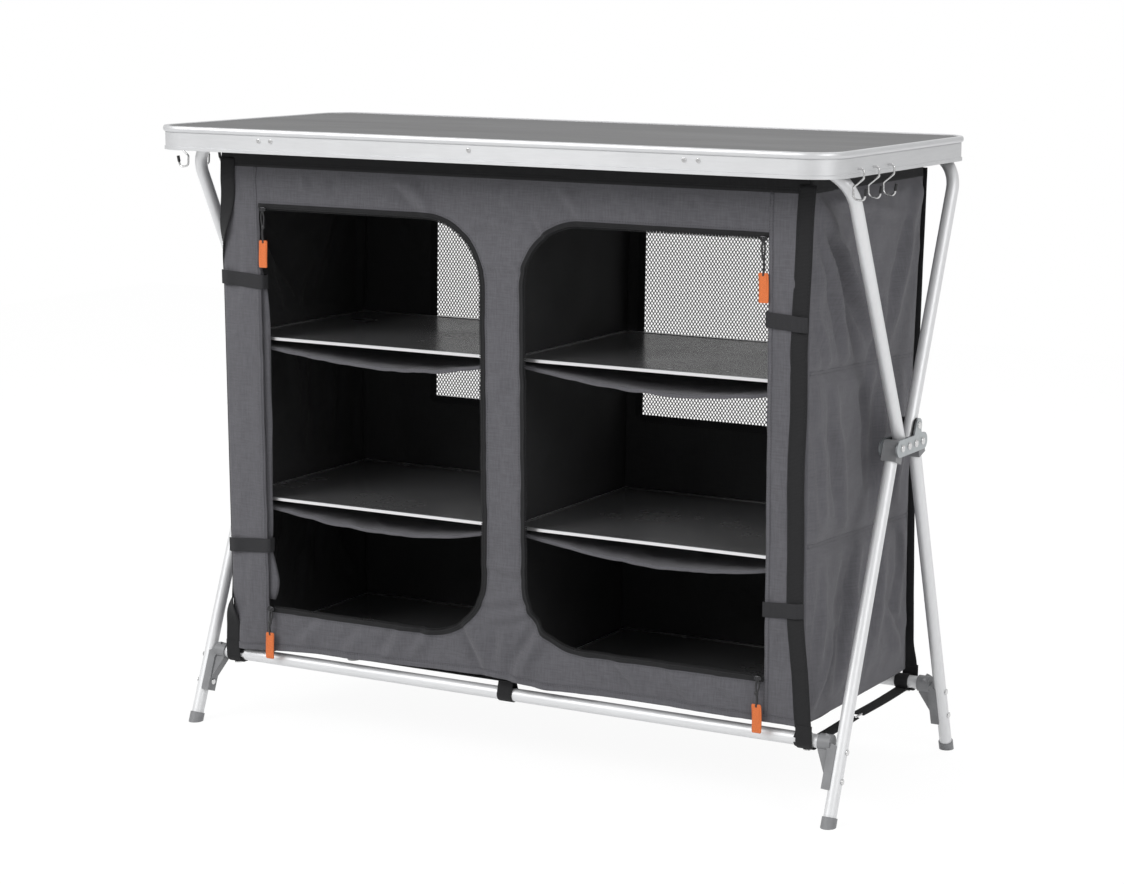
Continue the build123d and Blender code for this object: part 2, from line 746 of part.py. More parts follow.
# Black band round the top, with hems that the upper bars run through
hemGap = clipWidth / 2 + clipWall
hemSpans = ((-tunnelHalfLength, -braceX - hemGap), (hemGap - braceX, braceX - hemGap),
            (braceX + hemGap, tunnelHalfLength))
hemPlaces = ((frontBarY, (clothFaceY + clothFrontY) / 2), (rearBarY, clothBackTopY + clothThickness / 2))
with BuildPart() as topBand:
    bandInner = clothHalfWidth - clothThickness
    with BuildSketch(Plane.XY.offset(clothTop)):
        with Locations((0, (clothFrontY + clothBackTopY) / 2)):
            Rectangle(2 * clothHalfWidth, clothBackTopY - clothFrontY + 2 * clothThickness)
            Rectangle(2 * bandInner, clothBackTopY - clothFrontY, mode=Mode.SUBTRACT)
    extrude(amount=bandTop - clothTop)
    for barY, panelY in hemPlaces:
        for first, last in hemSpans:
            with Locations(((first + last) / 2, panelY, (bandTop + upperBarHeight) / 2)):
                Box(last - first, clothThickness, upperBarHeight - bandTop)
            with Locations(placeAcross((first + last) / 2, barY, upperBarHeight)):
                Cylinder(tubeRadius + tunnelWall, last - first)
        with Locations(placeAcross(0, barY, upperBarHeight)):
            Cylinder(tubeRadius + fitClearance, 3 * clothHalfWidth, mode=Mode.SUBTRACT)
save(topBand, "top_band")


# Doors rolled up behind the strips beside their openings
rollY = clothFrontY + rollGap + rollDepth / 2
rollBottom = doorBottom + rollEndGap
rollTop = doorTop - rollEndGap
for side, sideName in ((-1, "left"), (1, "right")):
    with BuildPart() as roll:
        with BuildSketch(Plane.XY.offset(rollBottom)):
            with Locations((side * rollX, rollY)):
                SlotOverall(rollWidth, rollDepth)
        extrude(amount=rollTop - rollBottom)
    save(roll, f"door_roll_{sideName}")

# Two straps round each roll and the strip of the front panel before it
strapInside = clothFrontY + rollGap + rollDepth + strapGap
strapLength = rollWidth + 2 * strapGap
with BuildPart() as rollStraps:
    for height in (strapUpper, strapLower):
        with BuildSketch(Plane.XY.offset(height - strapHeight / 2)):
            for side in (-1, 1):
                with Locations((side * rollX, (clothFaceY + strapInside) / 2)):
                    Rectangle(strapLength + 2 * strapThickness, strapInside - clothFaceY + 2 * strapThickness)
                    Rectangle(strapLength, strapInside - clothFaceY, mode=Mode.SUBTRACT)
                with Locations((side * (doorOuterX + clothHalfWidth) / 2, (clothFrontY + clothFaceY) / 2)):
                    Rectangle(clothHalfWidth - doorOuterX, clothThickness, mode=Mode.SUBTRACT)
                with Locations((side * (rollX + strapTailX) / 2, clothFaceY - strapThickness / 2)):
                    Rectangle(strapTailX - rollX, strapThickness)
        extrude(amount=strapHeight)
save(rollStraps, "door_roll_straps")

# Webbing down the four corners of the cloth body
frontFace = Plane.XZ.offset(-clothFaceY)
rearFace = backPlane.offset(-clothThickness)
rearWebbingEnd = (webbingEnd - clothBottom) * backStretch
webbingRuns = ((frontFace, webbingThickness, webbingEnd, clothTop),
               (rearFace, -webbingThickness, rearWebbingEnd, backHeight))
with BuildPart() as cornerWebbing:
    for side in (-1, 1):
        for plane, amount, low, high in webbingRuns:
            with BuildSketch(plane):
                with BuildLine():
                    Polyline(
                        (side * webbingBottomX - webbingWidth / 2, low),
                        (side * webbingTopX - webbingWidth / 2, high),
                        (side * webbingTopX + webbingWidth / 2, high),
                        (side * webbingBottomX + webbingWidth / 2, low), close=True,
                    )
                make_face()
            extrude(amount=amount)
save(cornerWebbing, "corner_webbing")


# Webbing ends that wrap each lower crossbar, and the loop at the middle
def barStraps(name, barY, outwards, withLoop):
    inner = barStrapOuter - webbingThickness
    outer = barStrapOuter
    with BuildPart() as ends:
        for side in (-1, 1):
            with BuildSketch(sidePlane(side * barStrapX - webbingWidth / 2)):
                with Locations((barY + outwards * (inner + outer) / 2, (barStrapTop + crossbarHeight) / 2)):
                    Rectangle(webbingThickness, barStrapTop - crossbarHeight)
                with Locations((barY, crossbarHeight)):
                    Circle(outer)
                    Circle(inner, mode=Mode.SUBTRACT)
                with Locations((barY - outwards * outer, crossbarHeight)):
                    Rectangle(2 * outer, 2 * outer, mode=Mode.SUBTRACT)
            extrude(amount=webbingWidth)
        if withLoop:
            with Locations(placeAcross(0, barY, crossbarHeight)):
                Cylinder(crossbarRadius + fitClearance + webbingThickness, loopWidth)
                Cylinder(crossbarRadius + fitClearance, loopWidth, mode=Mode.SUBTRACT)
    save(ends, f"{name}_bar_straps")


barStraps("front", frontCrossbarY, -1, True)
barStraps("rear", rearCrossbarY, 1, False)

# Floor straps: a loop round each crossbar and a band to the hook in the middle
floorStrapLevel = crossbarHeight - crossbarRadius - fitClearance - webbingThickness / 2
for name, barY, inwards in (("front", frontCrossbarY, 1), ("rear", rearCrossbarY, -1)):
    bandEnd = floorStrapHookY - inwards * floorStrapGap
    with BuildPart() as floorStrap:
        for side in (-1, 1):
            with BuildSketch(sidePlane(side * floorStrapX - floorStrapWidth / 2)):
                with Locations(((barY + bandEnd) / 2, floorStrapLevel)):
                    Rectangle(abs(bandEnd - barY), webbingThickness)
                with Locations((barY, crossbarHeight)):
                    Circle(crossbarRadius + fitClearance + webbingThickness)
                    Circle(crossbarRadius + fitClearance, mode=Mode.SUBTRACT)
            extrude(amount=floorStrapWidth)
    save(floorStrap, f"floor_strap_{name}")


# Wire hook that joins the two halves of each floor strap
def strapHook(side):
    near = floorStrapHookY + floorStrapGap - floorHookLap
    level = floorStrapLevel + webbingThickness / 2 + floorHookWire
    far = floorStrapHookY - floorStrapGap - floorHookReach
    width = floorStrapWidth / 2 - 2 * floorHookWire
    middleX = side * floorStrapX
    with BuildPart() as link:
        with BuildLine() as wire:
            FilletPolyline(
                (middleX - width, near, level), (middleX - width, far, level), (middleX + width, far, level),
                (middleX + width, near, level), radius=2 * floorHookWire,
            )
        with BuildSketch(Plane(origin=wire.line @ 0, z_dir=wire.line % 0)):
            Circle(floorHookWire)
        sweep()
    return link.part


hookParts = [strapHook(-1), strapHook(1)]
with BuildPart() as floorHooks:
    add(hookParts)
save(floorHooks, "floor_strap_hooks")

# Six loose boards, each a plate in an edge frame
for side, sideName in ((-1, "left"), (1, "right")):
    for level, top in zip(("upper", "lower", "floor"), boardTops):
        boardWidth = boardOuterX - boardInnerX
        boardDepth = boardRearY - boardFrontY
        middle = (side * (boardInnerX + boardOuterX) / 2, (boardFrontY + boardRearY) / 2)
        with BuildPart() as edgeFrame:
            with BuildSketch(Plane.XY.offset(top - boardThickness)):
                with Locations(middle):
                    Rectangle(boardWidth, boardDepth)
                    Rectangle(boardWidth - 2 * boardTrim, boardDepth - 2 * boardTrim, mode=Mode.SUBTRACT)
            extrude(amount=boardThickness)
        with BuildPart() as core:
            with BuildSketch(Plane.XY.offset(top - (boardThickness + boardCore) / 2)):
                with Locations(middle):
                    Rectangle(boardWidth - 2 * boardTrim, boardDepth - 2 * boardTrim)
            extrude(amount=boardCore)
        board = Compound(children=[edgeFrame.part, core.part])
        board.label = f"board_{level}_{sideName}"
        export_step(board, f"parts/board_{level}_{sideName}.step")

# Zip sliders, each with a cord and a pull tab hanging from it
sliderY = clothFaceY - tapeThickness - sliderGap - sliderDepth / 2
sliderPlaces = (("upper", doorTop + tapeWidth / 2, upperTabTop),
                ("lower", doorBottom - tapeWidth / 2, lowerTabTop))
for side, sideName in ((-1, "left"), (1, "right")):
    for level, sliderZ, tabTop in sliderPlaces:
        with BuildPart() as slider:
            with Locations((side * sliderX, sliderY, sliderZ)):
                Box(sliderWidth, sliderDepth, sliderHeight)
            fillet(slider.edges().filter_by(Axis.Y), sliderHeight / 4)
        with BuildPart() as cord:
            with BuildSketch(Plane.XY.offset(tabTop)):
                with Locations((side * sliderX, sliderY)):
                    Circle(cordRadius)
            extrude(amount=sliderZ - sliderHeight / 2 - tabTop)
        with BuildPart() as tab:
            with BuildSketch(Plane.XZ.offset(-(sliderY + tabThickness / 2))):
                with Locations((side * sliderX, tabTop - tabHeight / 2)):
                    RectangleRounded(tabWidth, tabHeight, tabWidth / 4)
            extrude(amount=tabThickness)
        pull = Compound(children=[slider.part, cord.part, tab.part])
        pull.label = f"zip_slider_{level}_{sideName}"
        export_step(pull, f"parts/zip_slider_{level}_{sideName}.step")
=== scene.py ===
import math

import bmesh
import bpy
import numpy as np
from mathutils import Matrix


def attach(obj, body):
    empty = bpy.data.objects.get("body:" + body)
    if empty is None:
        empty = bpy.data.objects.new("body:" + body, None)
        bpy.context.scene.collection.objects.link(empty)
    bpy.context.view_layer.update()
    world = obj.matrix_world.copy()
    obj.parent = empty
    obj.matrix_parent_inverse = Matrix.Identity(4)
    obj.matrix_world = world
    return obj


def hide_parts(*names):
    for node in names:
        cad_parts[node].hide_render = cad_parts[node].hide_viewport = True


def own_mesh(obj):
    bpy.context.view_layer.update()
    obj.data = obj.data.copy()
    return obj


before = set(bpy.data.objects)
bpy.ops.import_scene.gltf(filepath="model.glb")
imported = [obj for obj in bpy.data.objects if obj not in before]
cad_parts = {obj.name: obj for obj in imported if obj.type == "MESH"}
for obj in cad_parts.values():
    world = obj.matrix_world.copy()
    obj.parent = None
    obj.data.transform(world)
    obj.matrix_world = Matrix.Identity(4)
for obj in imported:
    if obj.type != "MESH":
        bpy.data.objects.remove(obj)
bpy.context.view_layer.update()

# Camping cupboard: cloth body, loose boards and a railed worktop on a folding tube frame.
# Metres throughout, X along the front, Y to the rear, Z up.

scene = bpy.context.scene
scene.view_settings.view_transform = "Standard"
print("frame loaded")

# Camera
view = {
    "place": (2.03286, -3.41134, 1.18232),
    "azimuth": 27.133,
    "elevation": 10.905,
    "roll": 0.455,
    "lens": 83.645,
    "shiftX": -0.14297,
    "shiftY": 0.03158,
}


def placed(right, up, back, place):
    # the matrix of something that looks along minus back
    axes = np.eye(4)
    axes[:3] = np.stack([right, up, back, place], axis=1)
    return Matrix(axes.tolist())


def addCamera():
    azimuth, elevation, roll = (math.radians(view[k]) for k in ("azimuth", "elevation", "roll"))
    back = np.array([math.sin(azimuth) * math.cos(elevation), -math.cos(azimuth) * math.cos(elevation),
                     math.sin(elevation)])
    right = np.array([math.cos(azimuth), math.sin(azimuth), 0.0])
    up = np.cross(back, right)
    turnedRight = math.cos(roll) * right + math.sin(roll) * up
    turnedUp = -math.sin(roll) * right + math.cos(roll) * up
    data = bpy.data.cameras.new("camera")
    data.lens = view["lens"]
    data.sensor_width = 36
    data.sensor_fit = "HORIZONTAL"
    data.shift_x = view["shiftX"]
    data.shift_y = view["shiftY"]
    data.clip_end = 50
    camera = bpy.data.objects.new("camera", data)
    camera.matrix_world = placed(turnedRight, turnedUp, back, view["place"])
    scene.collection.objects.link(camera)
    scene.camera = camera


addCamera()


# Material tools
def newMaterial(name, colour, roughness, metallic=0.0, **extra):
    material = bpy.data.materials.new(name)
    material.use_nodes = True
    shader = material.node_tree.nodes["Principled BSDF"]
    shader.inputs["Base Color"].default_value = (*colour, 1)
    shader.inputs["Roughness"].default_value = roughness
    shader.inputs["Metallic"].default_value = metallic
    for key, value in extra.items():
        shader.inputs[key.replace("_", " ")].default_value = value
    return material, material.node_tree, shader


def addNode(tree, kind, inputs, output=0, **options):
    # inputs: socket name or number to a value or another socket
    made = tree.nodes.new(kind)
    for key, value in options.items():
        setattr(made, key, value)
    for key, value in inputs.items():
        if isinstance(value, bpy.types.NodeSocket):
            tree.links.new(value, made.inputs[key])
        else:
            made.inputs[key].default_value = value
    return made.outputs[output]


def calc(tree, operation, a, b=0.0, c=0.0):
    return addNode(tree, "ShaderNodeMath", {0: a, 1: b, 2: c}, operation=operation)


def objectPoint(tree):
    return tree.nodes.new("ShaderNodeTexCoord").outputs["Object"]


def surfacePoint(tree):
    return tree.nodes.new("ShaderNodeTexCoord").outputs["UV"]


def stretched(tree, point, scale):
    return addNode(tree, "ShaderNodeMapping", {"Vector": point, "Scale": scale})


def noise(tree, point, scale, detail=2.0, roughness=0.5):
    return addNode(tree, "ShaderNodeTexNoise",
                   {"Vector": point, "Scale": scale, "Detail": detail, "Roughness": roughness})


def ramp(tree, value, low, high, toLow=0.0, toHigh=1.0):
    return addNode(tree, "ShaderNodeMapRange",
                   {"Value": value, "From Min": low, "From Max": high, "To Min": toLow, "To Max": toHigh})


def blendColour(tree, share, first, second):
    made = tree.nodes.new("ShaderNodeMix")
    made.data_type = "RGBA"
    for key, value in ((0, share), (6, first), (7, second)):
        if isinstance(value, bpy.types.NodeSocket):
            tree.links.new(value, made.inputs[key])
        else:
            made.inputs[key].default_value = value if key == 0 else (*value, 1)
    return made.outputs[2]


def tint(tree, shader, share, colour, spread):
    # base colour between two strengths of one colour
    low, high = (tuple(c * factor for c in colour) for factor in spread)
    tree.links.new(blendColour(tree, share, low, high), shader.inputs["Base Color"])


def shades(tree, value, colour, spread):
    # colour that goes between two strengths as a noise goes from 0.3 to 0.7
    low, high = (tuple(c * factor for c in colour) for factor in spread)
    return blendColour(tree, ramp(tree, value, 0.3, 0.7), low, high)


def roughen(tree, shader, value, low, high):
    tree.links.new(ramp(tree, value, 0.3, 0.7, low, high), shader.inputs["Roughness"])


def splitPoint(tree, point):
    axes = tree.nodes.new("ShaderNodeSeparateXYZ")
    tree.links.new(point, axes.inputs[0])
    return axes.outputs


def addBump(tree, shader, layers):
    # layers: (height socket, depth in metres, strength), coarse first
    normal = None
    for height, depth, strength in layers:
        inputs = {"Height": height, "Distance": depth, "Strength": strength}
        if normal is not None:
            inputs["Normal"] = normal
        normal = addNode(tree, "ShaderNodeBump", inputs)
    tree.links.new(normal, shader.inputs["Normal"])


# Light, floor and background
studio = {
    "softboxes": [  # place, target, width, height, watts
        ((-1.9, -3.0, 2.9), (0.0, 0.0, 0.5), 2.6, 2.0, 95),
        ((3.4, -1.6, 2.2), (0.2, 0.0, 0.5), 1.8, 1.8, 40),
        ((0.3, 1.2, 3.4), (0.0, 0.0, 0.7), 2.4, 1.6, 22),
    ],
    "surroundings": 0.62,
    "floorColour": (0.86, 0.86, 0.86),
    "floorGlow": 0.9,
    "glowStrength": 1.04,
    "floorSize": 9.0,
}


def addLights():
    for k, (place, target, width, height, watts) in enumerate(studio["softboxes"]):
        data = bpy.data.lights.new(f"softbox{k}", "AREA")
        data.shape = "RECTANGLE"
        data.size, data.size_y, data.energy = width, height, watts
        lamp = bpy.data.objects.new(f"softbox{k}", data)
        back = np.array(place) - np.array(target)
        back /= np.linalg.norm(back)
        right = np.cross((0, 0, 1), back)
        right /= np.linalg.norm(right)
        lamp.matrix_world = placed(right, np.cross(back, right), back, place)
        scene.collection.objects.link(lamp)


def seenWhite(tree):
    # 1 where the camera looks straight at it, or in a mirror or through glass
    rays = tree.nodes.new("ShaderNodeLightPath").outputs
    shiny = calc(tree, "MAXIMUM", rays["Is Glossy Ray"], rays["Is Transmission Ray"])
    return calc(tree, "MAXIMUM", rays["Is Camera Ray"], shiny)


def addBackground():
    world = bpy.data.worlds.new("studio")
    world.use_nodes = True
    scene.world = world
    tree = world.node_tree
    tree.nodes.clear()
    white = (1, 1, 1, 1)
    soft = addNode(tree, "ShaderNodeBackground", {"Color": white, "Strength": studio["surroundings"]})
    bright = addNode(tree, "ShaderNodeBackground", {"Color": white})
    rays = tree.nodes.new("ShaderNodeLightPath").outputs
    mixed = addNode(tree, "ShaderNodeMixShader", {0: rays["Is Camera Ray"], 1: soft, 2: bright})
    tree.links.new(mixed, tree.nodes.new("ShaderNodeOutputWorld").inputs["Surface"])

    half = studio["floorSize"] / 2
    mesh = bpy.data.meshes.new("floor")
    corners = [(-half, -half, 0), (half, -half, 0), (half, half, 0), (-half, half, 0)]
    mesh.from_pydata(corners, [], [(0, 1, 2, 3)])
    floor = bpy.data.objects.new("floor", mesh)
    scene.collection.objects.link(floor)
    paint = bpy.data.materials.new("floorPaint")
    paint.use_nodes = True
    tree = paint.node_tree
    tree.nodes.clear()
    matt = addNode(tree, "ShaderNodeBsdfDiffuse", {"Color": (*studio["floorColour"], 1)})
    glow = addNode(tree, "ShaderNodeEmission", {"Strength": studio["glowStrength"]})
    share = calc(tree, "MULTIPLY", seenWhite(tree), studio["floorGlow"])
    mixed = addNode(tree, "ShaderNodeMixShader", {0: share, 1: matt, 2: glow})
    tree.links.new(mixed, tree.nodes.new("ShaderNodeOutputMaterial").inputs["Surface"])
    mesh.materials.append(paint)


addLights()
addBackground()
print("camera, lights and floor ready")

# Materials
clothLook = {
    "grey": (0.094, 0.0925, 0.1035), "lining": (0.010, 0.010, 0.011), "thread": 0.0011, "slub": 420,
    "outside": {"roughness": 0.86, "sheen": 0.12, "spread": (0.80, 1.24)},
    "inside": {"roughness": 0.72, "sheen": 0.05, "spread": (0.7, 1.5)},
}
webbingLook = {"black": (0.011, 0.011, 0.012), "strap": (0.021, 0.021, 0.023), "rib": 0.0019,
               "net": (0.022, 0.022, 0.024), "netRib": 0.0006, "seam": (0.030, 0.030, 0.034),
               "seamRib": 0.0005, "roughness": 0.72, "shine": 0.28, "spread": (0.65, 1.75)}
tubeLook = {"silver": (0.73, 0.735, 0.745), "roughness": 0.42, "metallic": 0.30, "spread": (0.94, 1.05)}
railLook = {"silver": (0.655, 0.660, 0.670), "roughness": 0.45, "metallic": 0.62, "spread": (0.94, 1.05)}
worktopLook = {"grey": (0.116, 0.116, 0.118), "roughness": 0.50, "spread": (0.86, 1.16)}
boardLook = {"dark": (0.088, 0.088, 0.090), "edge": (0.80, 0.80, 0.81), "trim": 0.0035,
             "roughness": (0.19, 0.29), "edgeRougher": 0.10, "edgeMetallic": 0.8,
             "shine": 1.0, "refraction": 1.6, "spread": (0.8, 1.25),
             "insideX": 0.008, "outsideX": 0.496, "frontY": -0.153, "rearY": 0.193}
plasticLook = {"grey": (0.175, 0.177, 0.183), "greyRoughness": 0.46, "black": (0.016, 0.016, 0.017),
               "blackRoughness": 0.42, "spread": (0.86, 1.35)}
steelLook = {"zinc": (0.44, 0.465, 0.475), "zincRoughness": 0.34, "bright": (0.66, 0.66, 0.66),
             "brightRoughness": 0.24, "slider": (0.05, 0.05, 0.052), "sliderRoughness": 0.22,
             "spread": (0.84, 1.16)}
pullLook = {"orange": (0.63, 0.160, 0.048), "rib": 0.0012}
hookLook = {"sleeveLow": 0.8885, "sleeveHigh": 0.8998, "sleeveX": 0.5775, "sleeveRougher": 0.25,
            "roughness": (0.2, 0.3), "spread": (0.85, 1.0)}


def makeCloth(name, colour, face):
    # plain weave: the product of two sines, with thick and thin threads both ways and a faint blotch
    material, tree, shader = newMaterial(name, colour, face["roughness"], Sheen_Weight=face["sheen"],
                                         Sheen_Roughness=0.5)
    point = surfacePoint(tree)
    turns = 2 * math.pi / clothLook["thread"]
    weave = calc(tree, "MULTIPLY", *(calc(tree, "SINE", calc(tree, "MULTIPLY", axis, turns))
                                     for axis in splitPoint(tree, point)[:2]))
    slub = calc(tree, "ADD", *(noise(tree, stretched(tree, point, stretch), clothLook["slub"], 2.0, 0.6)
                               for stretch in ((1.0, 0.10, 1.0), (0.10, 1.0, 1.0))))
    blotch = noise(tree, point, 6.0, 4.0, 0.55)
    tone = calc(tree, "ADD", ramp(tree, slub, 0.75, 1.25, -0.16, 0.16),
                ramp(tree, blotch, 0.3, 0.7, -0.05, 0.05))
    tone = calc(tree, "ADD", tone, calc(tree, "MULTIPLY", weave, 0.07))
    tint(tree, shader, ramp(tree, tone, -0.25, 0.25), colour, face["spread"])
    crush = noise(tree, point, 26.0, 3.0, 0.55)
    addBump(tree, shader, [(crush, 0.0022, 0.35), (slub, 0.00035, 0.5), (weave, 0.00022, 0.6)])
    return material


def makeWebbing(name, colour, rib):
    # ribs across the tape, with a fine herringbone in each
    material, tree, shader = newMaterial(name, colour, webbingLook["roughness"], Sheen_Weight=0.04,
                                         Sheen_Roughness=0.4, Specular_IOR_Level=webbingLook["shine"])
    point = surfacePoint(tree)
    axes = splitPoint(tree, point)
    across = calc(tree, "MULTIPLY", axes[0], 2 * math.pi / (2.4 * rib))
    lean = calc(tree, "ABSOLUTE", calc(tree, "SINE", across))
    along = calc(tree, "MULTIPLY_ADD", axes[1], 2 * math.pi / rib, calc(tree, "MULTIPLY", lean, 2.2))
    ribs = calc(tree, "SINE", along)
    fuzz = noise(tree, point, 900, 2.0, 0.6)
    share = calc(tree, "ADD", ramp(tree, ribs, -1, 1, 0.05, 0.75), ramp(tree, fuzz, 0.3, 0.7, -0.1, 0.3))
    tint(tree, shader, share, colour, webbingLook["spread"])
    addBump(tree, shader, [(noise(tree, point, 60), 0.0006, 0.3), (ribs, 0.0003, 0.7), (fuzz, 0.0001, 0.4)])
    return material


def makeAluminium(name, look, stretch):
    # satin anodising with faint drawing lines along the metal and a few rubbed spots
    material, tree, shader = newMaterial(name, look["silver"], look["roughness"], look["metallic"])
    point = objectPoint(tree)
    lines = noise(tree, stretched(tree, point, stretch), 240, 3.0, 0.65)
    rubbed = noise(tree, point, 7.0, 5.0, 0.6)
    grain = noise(tree, point, 1600, 2.0, 0.5)
    share = calc(tree, "ADD", ramp(tree, lines, 0.3, 0.7, 0.25, 0.75),
                 ramp(tree, rubbed, 0.35, 0.7, -0.15, 0.2))
    tint(tree, shader, share, look["silver"], look["spread"])
    rough = ramp(tree, rubbed, 0.3, 0.75, look["roughness"] - 0.05, look["roughness"] + 0.09)
    rough = calc(tree, "ADD", rough, ramp(tree, grain, 0.3, 0.7, -0.03, 0.03))
    tree.links.new(rough, shader.inputs["Roughness"])
    addBump(tree, shader, [(lines, 0.00006, 0.35), (grain, 0.00003, 0.3)])
    return material


def makeMoulded(name, colour, roughness):
    # moulded plastic with a fine spark texture and a painted highlight: paler colour along its convex edges
    material, tree, shader = newMaterial(name, colour, roughness)
    point = objectPoint(tree)
    spark = noise(tree, point, 1500, 3.0, 0.6)
    cloud = noise(tree, point, 45, 3.0, 0.6)
    geometry = tree.nodes.new("ShaderNodeNewGeometry")
    # painted highlight: the colour turns paler where the surface is most convex
    paintedEdgeHighlight = ramp(tree, geometry.outputs["Pointiness"], 0.52, 0.60, 0.0, 0.35)
    share = calc(tree, "ADD", ramp(tree, cloud, 0.3, 0.7, 0.1, 0.6), paintedEdgeHighlight)
    tint(tree, shader, share, colour, plasticLook["spread"])
    roughen(tree, shader, cloud, roughness - 0.06, roughness + 0.08)
    addBump(tree, shader, [(spark, 0.00008, 0.5)])
    return material


def makeZinc(name, colour, roughness):
    # zinc plating: faint spangle and rolling lines
    material, tree, shader = newMaterial(name, colour, roughness, 1.0)
    point = objectPoint(tree)
    spangle = addNode(tree, "ShaderNodeTexVoronoi", {"Vector": point, "Scale": 260.0}, output=1)
    spangle = addNode(tree, "ShaderNodeRGBToBW", {0: spangle})
    lines = noise(tree, stretched(tree, point, (1, 1, 7)), 300, 3.0, 0.6)
    share = calc(tree, "ADD", ramp(tree, spangle, 0.0, 1.0, 0.2, 0.6), ramp(tree, lines, 0.3, 0.7, -0.1, 0.3))
    tint(tree, shader, share, colour, steelLook["spread"])
    roughen(tree, shader, lines, roughness - 0.07, roughness + 0.10)
    addBump(tree, shader, [(lines, 0.00005, 0.4)])
    return material


def makeWorktop(name, look):
    # laminate: short pressed grain, dust-fine speckle and a slight wipe pattern in the gloss
    material, tree, shader = newMaterial(name, look["grey"], look["roughness"])
    point = objectPoint(tree)
    grain = noise(tree, stretched(tree, point, (0.25, 1.0, 1.0)), 900, 3.0, 0.6)
    speckle = noise(tree, point, 2300, 1.0, 0.5)
    wipe = noise(tree, stretched(tree, point, (0.5, 1.6, 1.0)), 5.0, 5.0, 0.6)
    share = calc(tree, "ADD", ramp(tree, grain, 0.3, 0.7, 0.1, 0.7),
                 ramp(tree, speckle, 0.35, 0.65, -0.2, 0.4))
    tint(tree, shader, share, look["grey"], look["spread"])
    roughen(tree, shader, wipe, look["roughness"] - 0.05, look["roughness"] + 0.07)
    addBump(tree, shader, [(grain, 0.00012, 0.5), (speckle, 0.00005, 0.4)])
    return material


def makeBoard(name, look):
    # dark satin faces inside a pale edge frame; where a point lies is told from its distance to the outline
    material, tree, shader = newMaterial(name, look["dark"], look["roughness"][0],
                                         Specular_IOR_Level=look["shine"], IOR=look["refraction"])
    point = objectPoint(tree)
    x, y, _ = splitPoint(tree, point)
    x = calc(tree, "ABSOLUTE", x)
    sideways = calc(tree, "MINIMUM", calc(tree, "SUBTRACT", x, look["insideX"]),
                    calc(tree, "SUBTRACT", look["outsideX"], x))
    lengthways = calc(tree, "MINIMUM", calc(tree, "SUBTRACT", y, look["frontY"]),
                      calc(tree, "SUBTRACT", look["rearY"], y))
    nearest = calc(tree, "MINIMUM", sideways, lengthways)
    edge = calc(tree, "LESS_THAN", nearest, look["trim"])
    grain = noise(tree, point, 1300, 3.0, 0.6)
    wipe = noise(tree, point, 7.0, 5.0, 0.6)
    dark = shades(tree, grain, look["dark"], look["spread"])
    tree.links.new(blendColour(tree, edge, dark, look["edge"]), shader.inputs["Base Color"])
    tree.links.new(calc(tree, "MULTIPLY", edge, look["edgeMetallic"]), shader.inputs["Metallic"])
    rough = ramp(tree, wipe, 0.3, 0.7, *look["roughness"])
    rough = calc(tree, "ADD", rough, calc(tree, "MULTIPLY", edge, look["edgeRougher"]))
    tree.links.new(rough, shader.inputs["Roughness"])
    addBump(tree, shader, [(grain, 0.00007, 0.4)])
    return material


def makeHookWire(name, look):
    # bright bent wire with a black sleeve on the tip, told from where the tip is
    material, tree, shader = newMaterial(name, steelLook["bright"], steelLook["brightRoughness"], 1.0)
    point = objectPoint(tree)
    x, _, z = splitPoint(tree, point)
    outside = calc(tree, "GREATER_THAN", calc(tree, "ABSOLUTE", x), look["sleeveX"])
    above = calc(tree, "GREATER_THAN", z, look["sleeveLow"])
    below = calc(tree, "LESS_THAN", z, look["sleeveHigh"])
    sleeve = calc(tree, "MULTIPLY", outside, calc(tree, "MULTIPLY", above, below))
    drawn = noise(tree, point, 500, 3.0, 0.6)
    wire = shades(tree, drawn, steelLook["bright"], look["spread"])
    tree.links.new(blendColour(tree, sleeve, wire, plasticLook["black"]), shader.inputs["Base Color"])
    tree.links.new(calc(tree, "SUBTRACT", 1.0, sleeve), shader.inputs["Metallic"])
    rough = ramp(tree, drawn, 0.3, 0.7, *look["roughness"])
    rough = calc(tree, "ADD", rough, calc(tree, "MULTIPLY", sleeve, look["sleeveRougher"]))
    tree.links.new(rough, shader.inputs["Roughness"])
    addBump(tree, shader, [(drawn, 0.00004, 0.4)])
    return material


greyCloth = makeCloth("greyCloth", clothLook["grey"], clothLook["outside"])
blackLining = makeCloth("blackLining", clothLook["lining"], clothLook["inside"])
blackWebbing = makeWebbing("blackWebbing", webbingLook["black"], webbingLook["rib"])
strapWebbing = makeWebbing("strapWebbing", webbingLook["strap"], webbingLook["rib"])
orangeTape = makeWebbing("orangeTape", pullLook["orange"], pullLook["rib"])
netThread = makeWebbing("netThread", webbingLook["net"], webbingLook["netRib"])
seamThread = makeWebbing("seamThread", webbingLook["seam"], webbingLook["seamRib"])
tubeMetal = makeAluminium("tubeMetal", tubeLook, (1, 1, 0.12))
barMetal = makeAluminium("barMetal", tubeLook, (0.12, 1, 1))
railMetal = makeAluminium("railMetal", railLook, (0.10, 0.10, 1))
worktopLaminate = makeWorktop("worktopLaminate", worktopLook)
boardFinish = makeBoard("boardFinish", boardLook)
greyPlastic = makeMoulded("greyPlastic", plasticLook["grey"], plasticLook["greyRoughness"])
blackPlastic = makeMoulded("blackPlastic", plasticLook["black"], plasticLook["blackRoughness"])
zincPlate = makeZinc("zincPlate", steelLook["zinc"], steelLook["zincRoughness"])
brightSteel = makeZinc("brightSteel", steelLook["bright"], steelLook["brightRoughness"])
sliderMetal = makeZinc("sliderMetal", steelLook["slider"], steelLook["sliderRoughness"])
hookWire = makeHookWire("hookWire", hookLook)

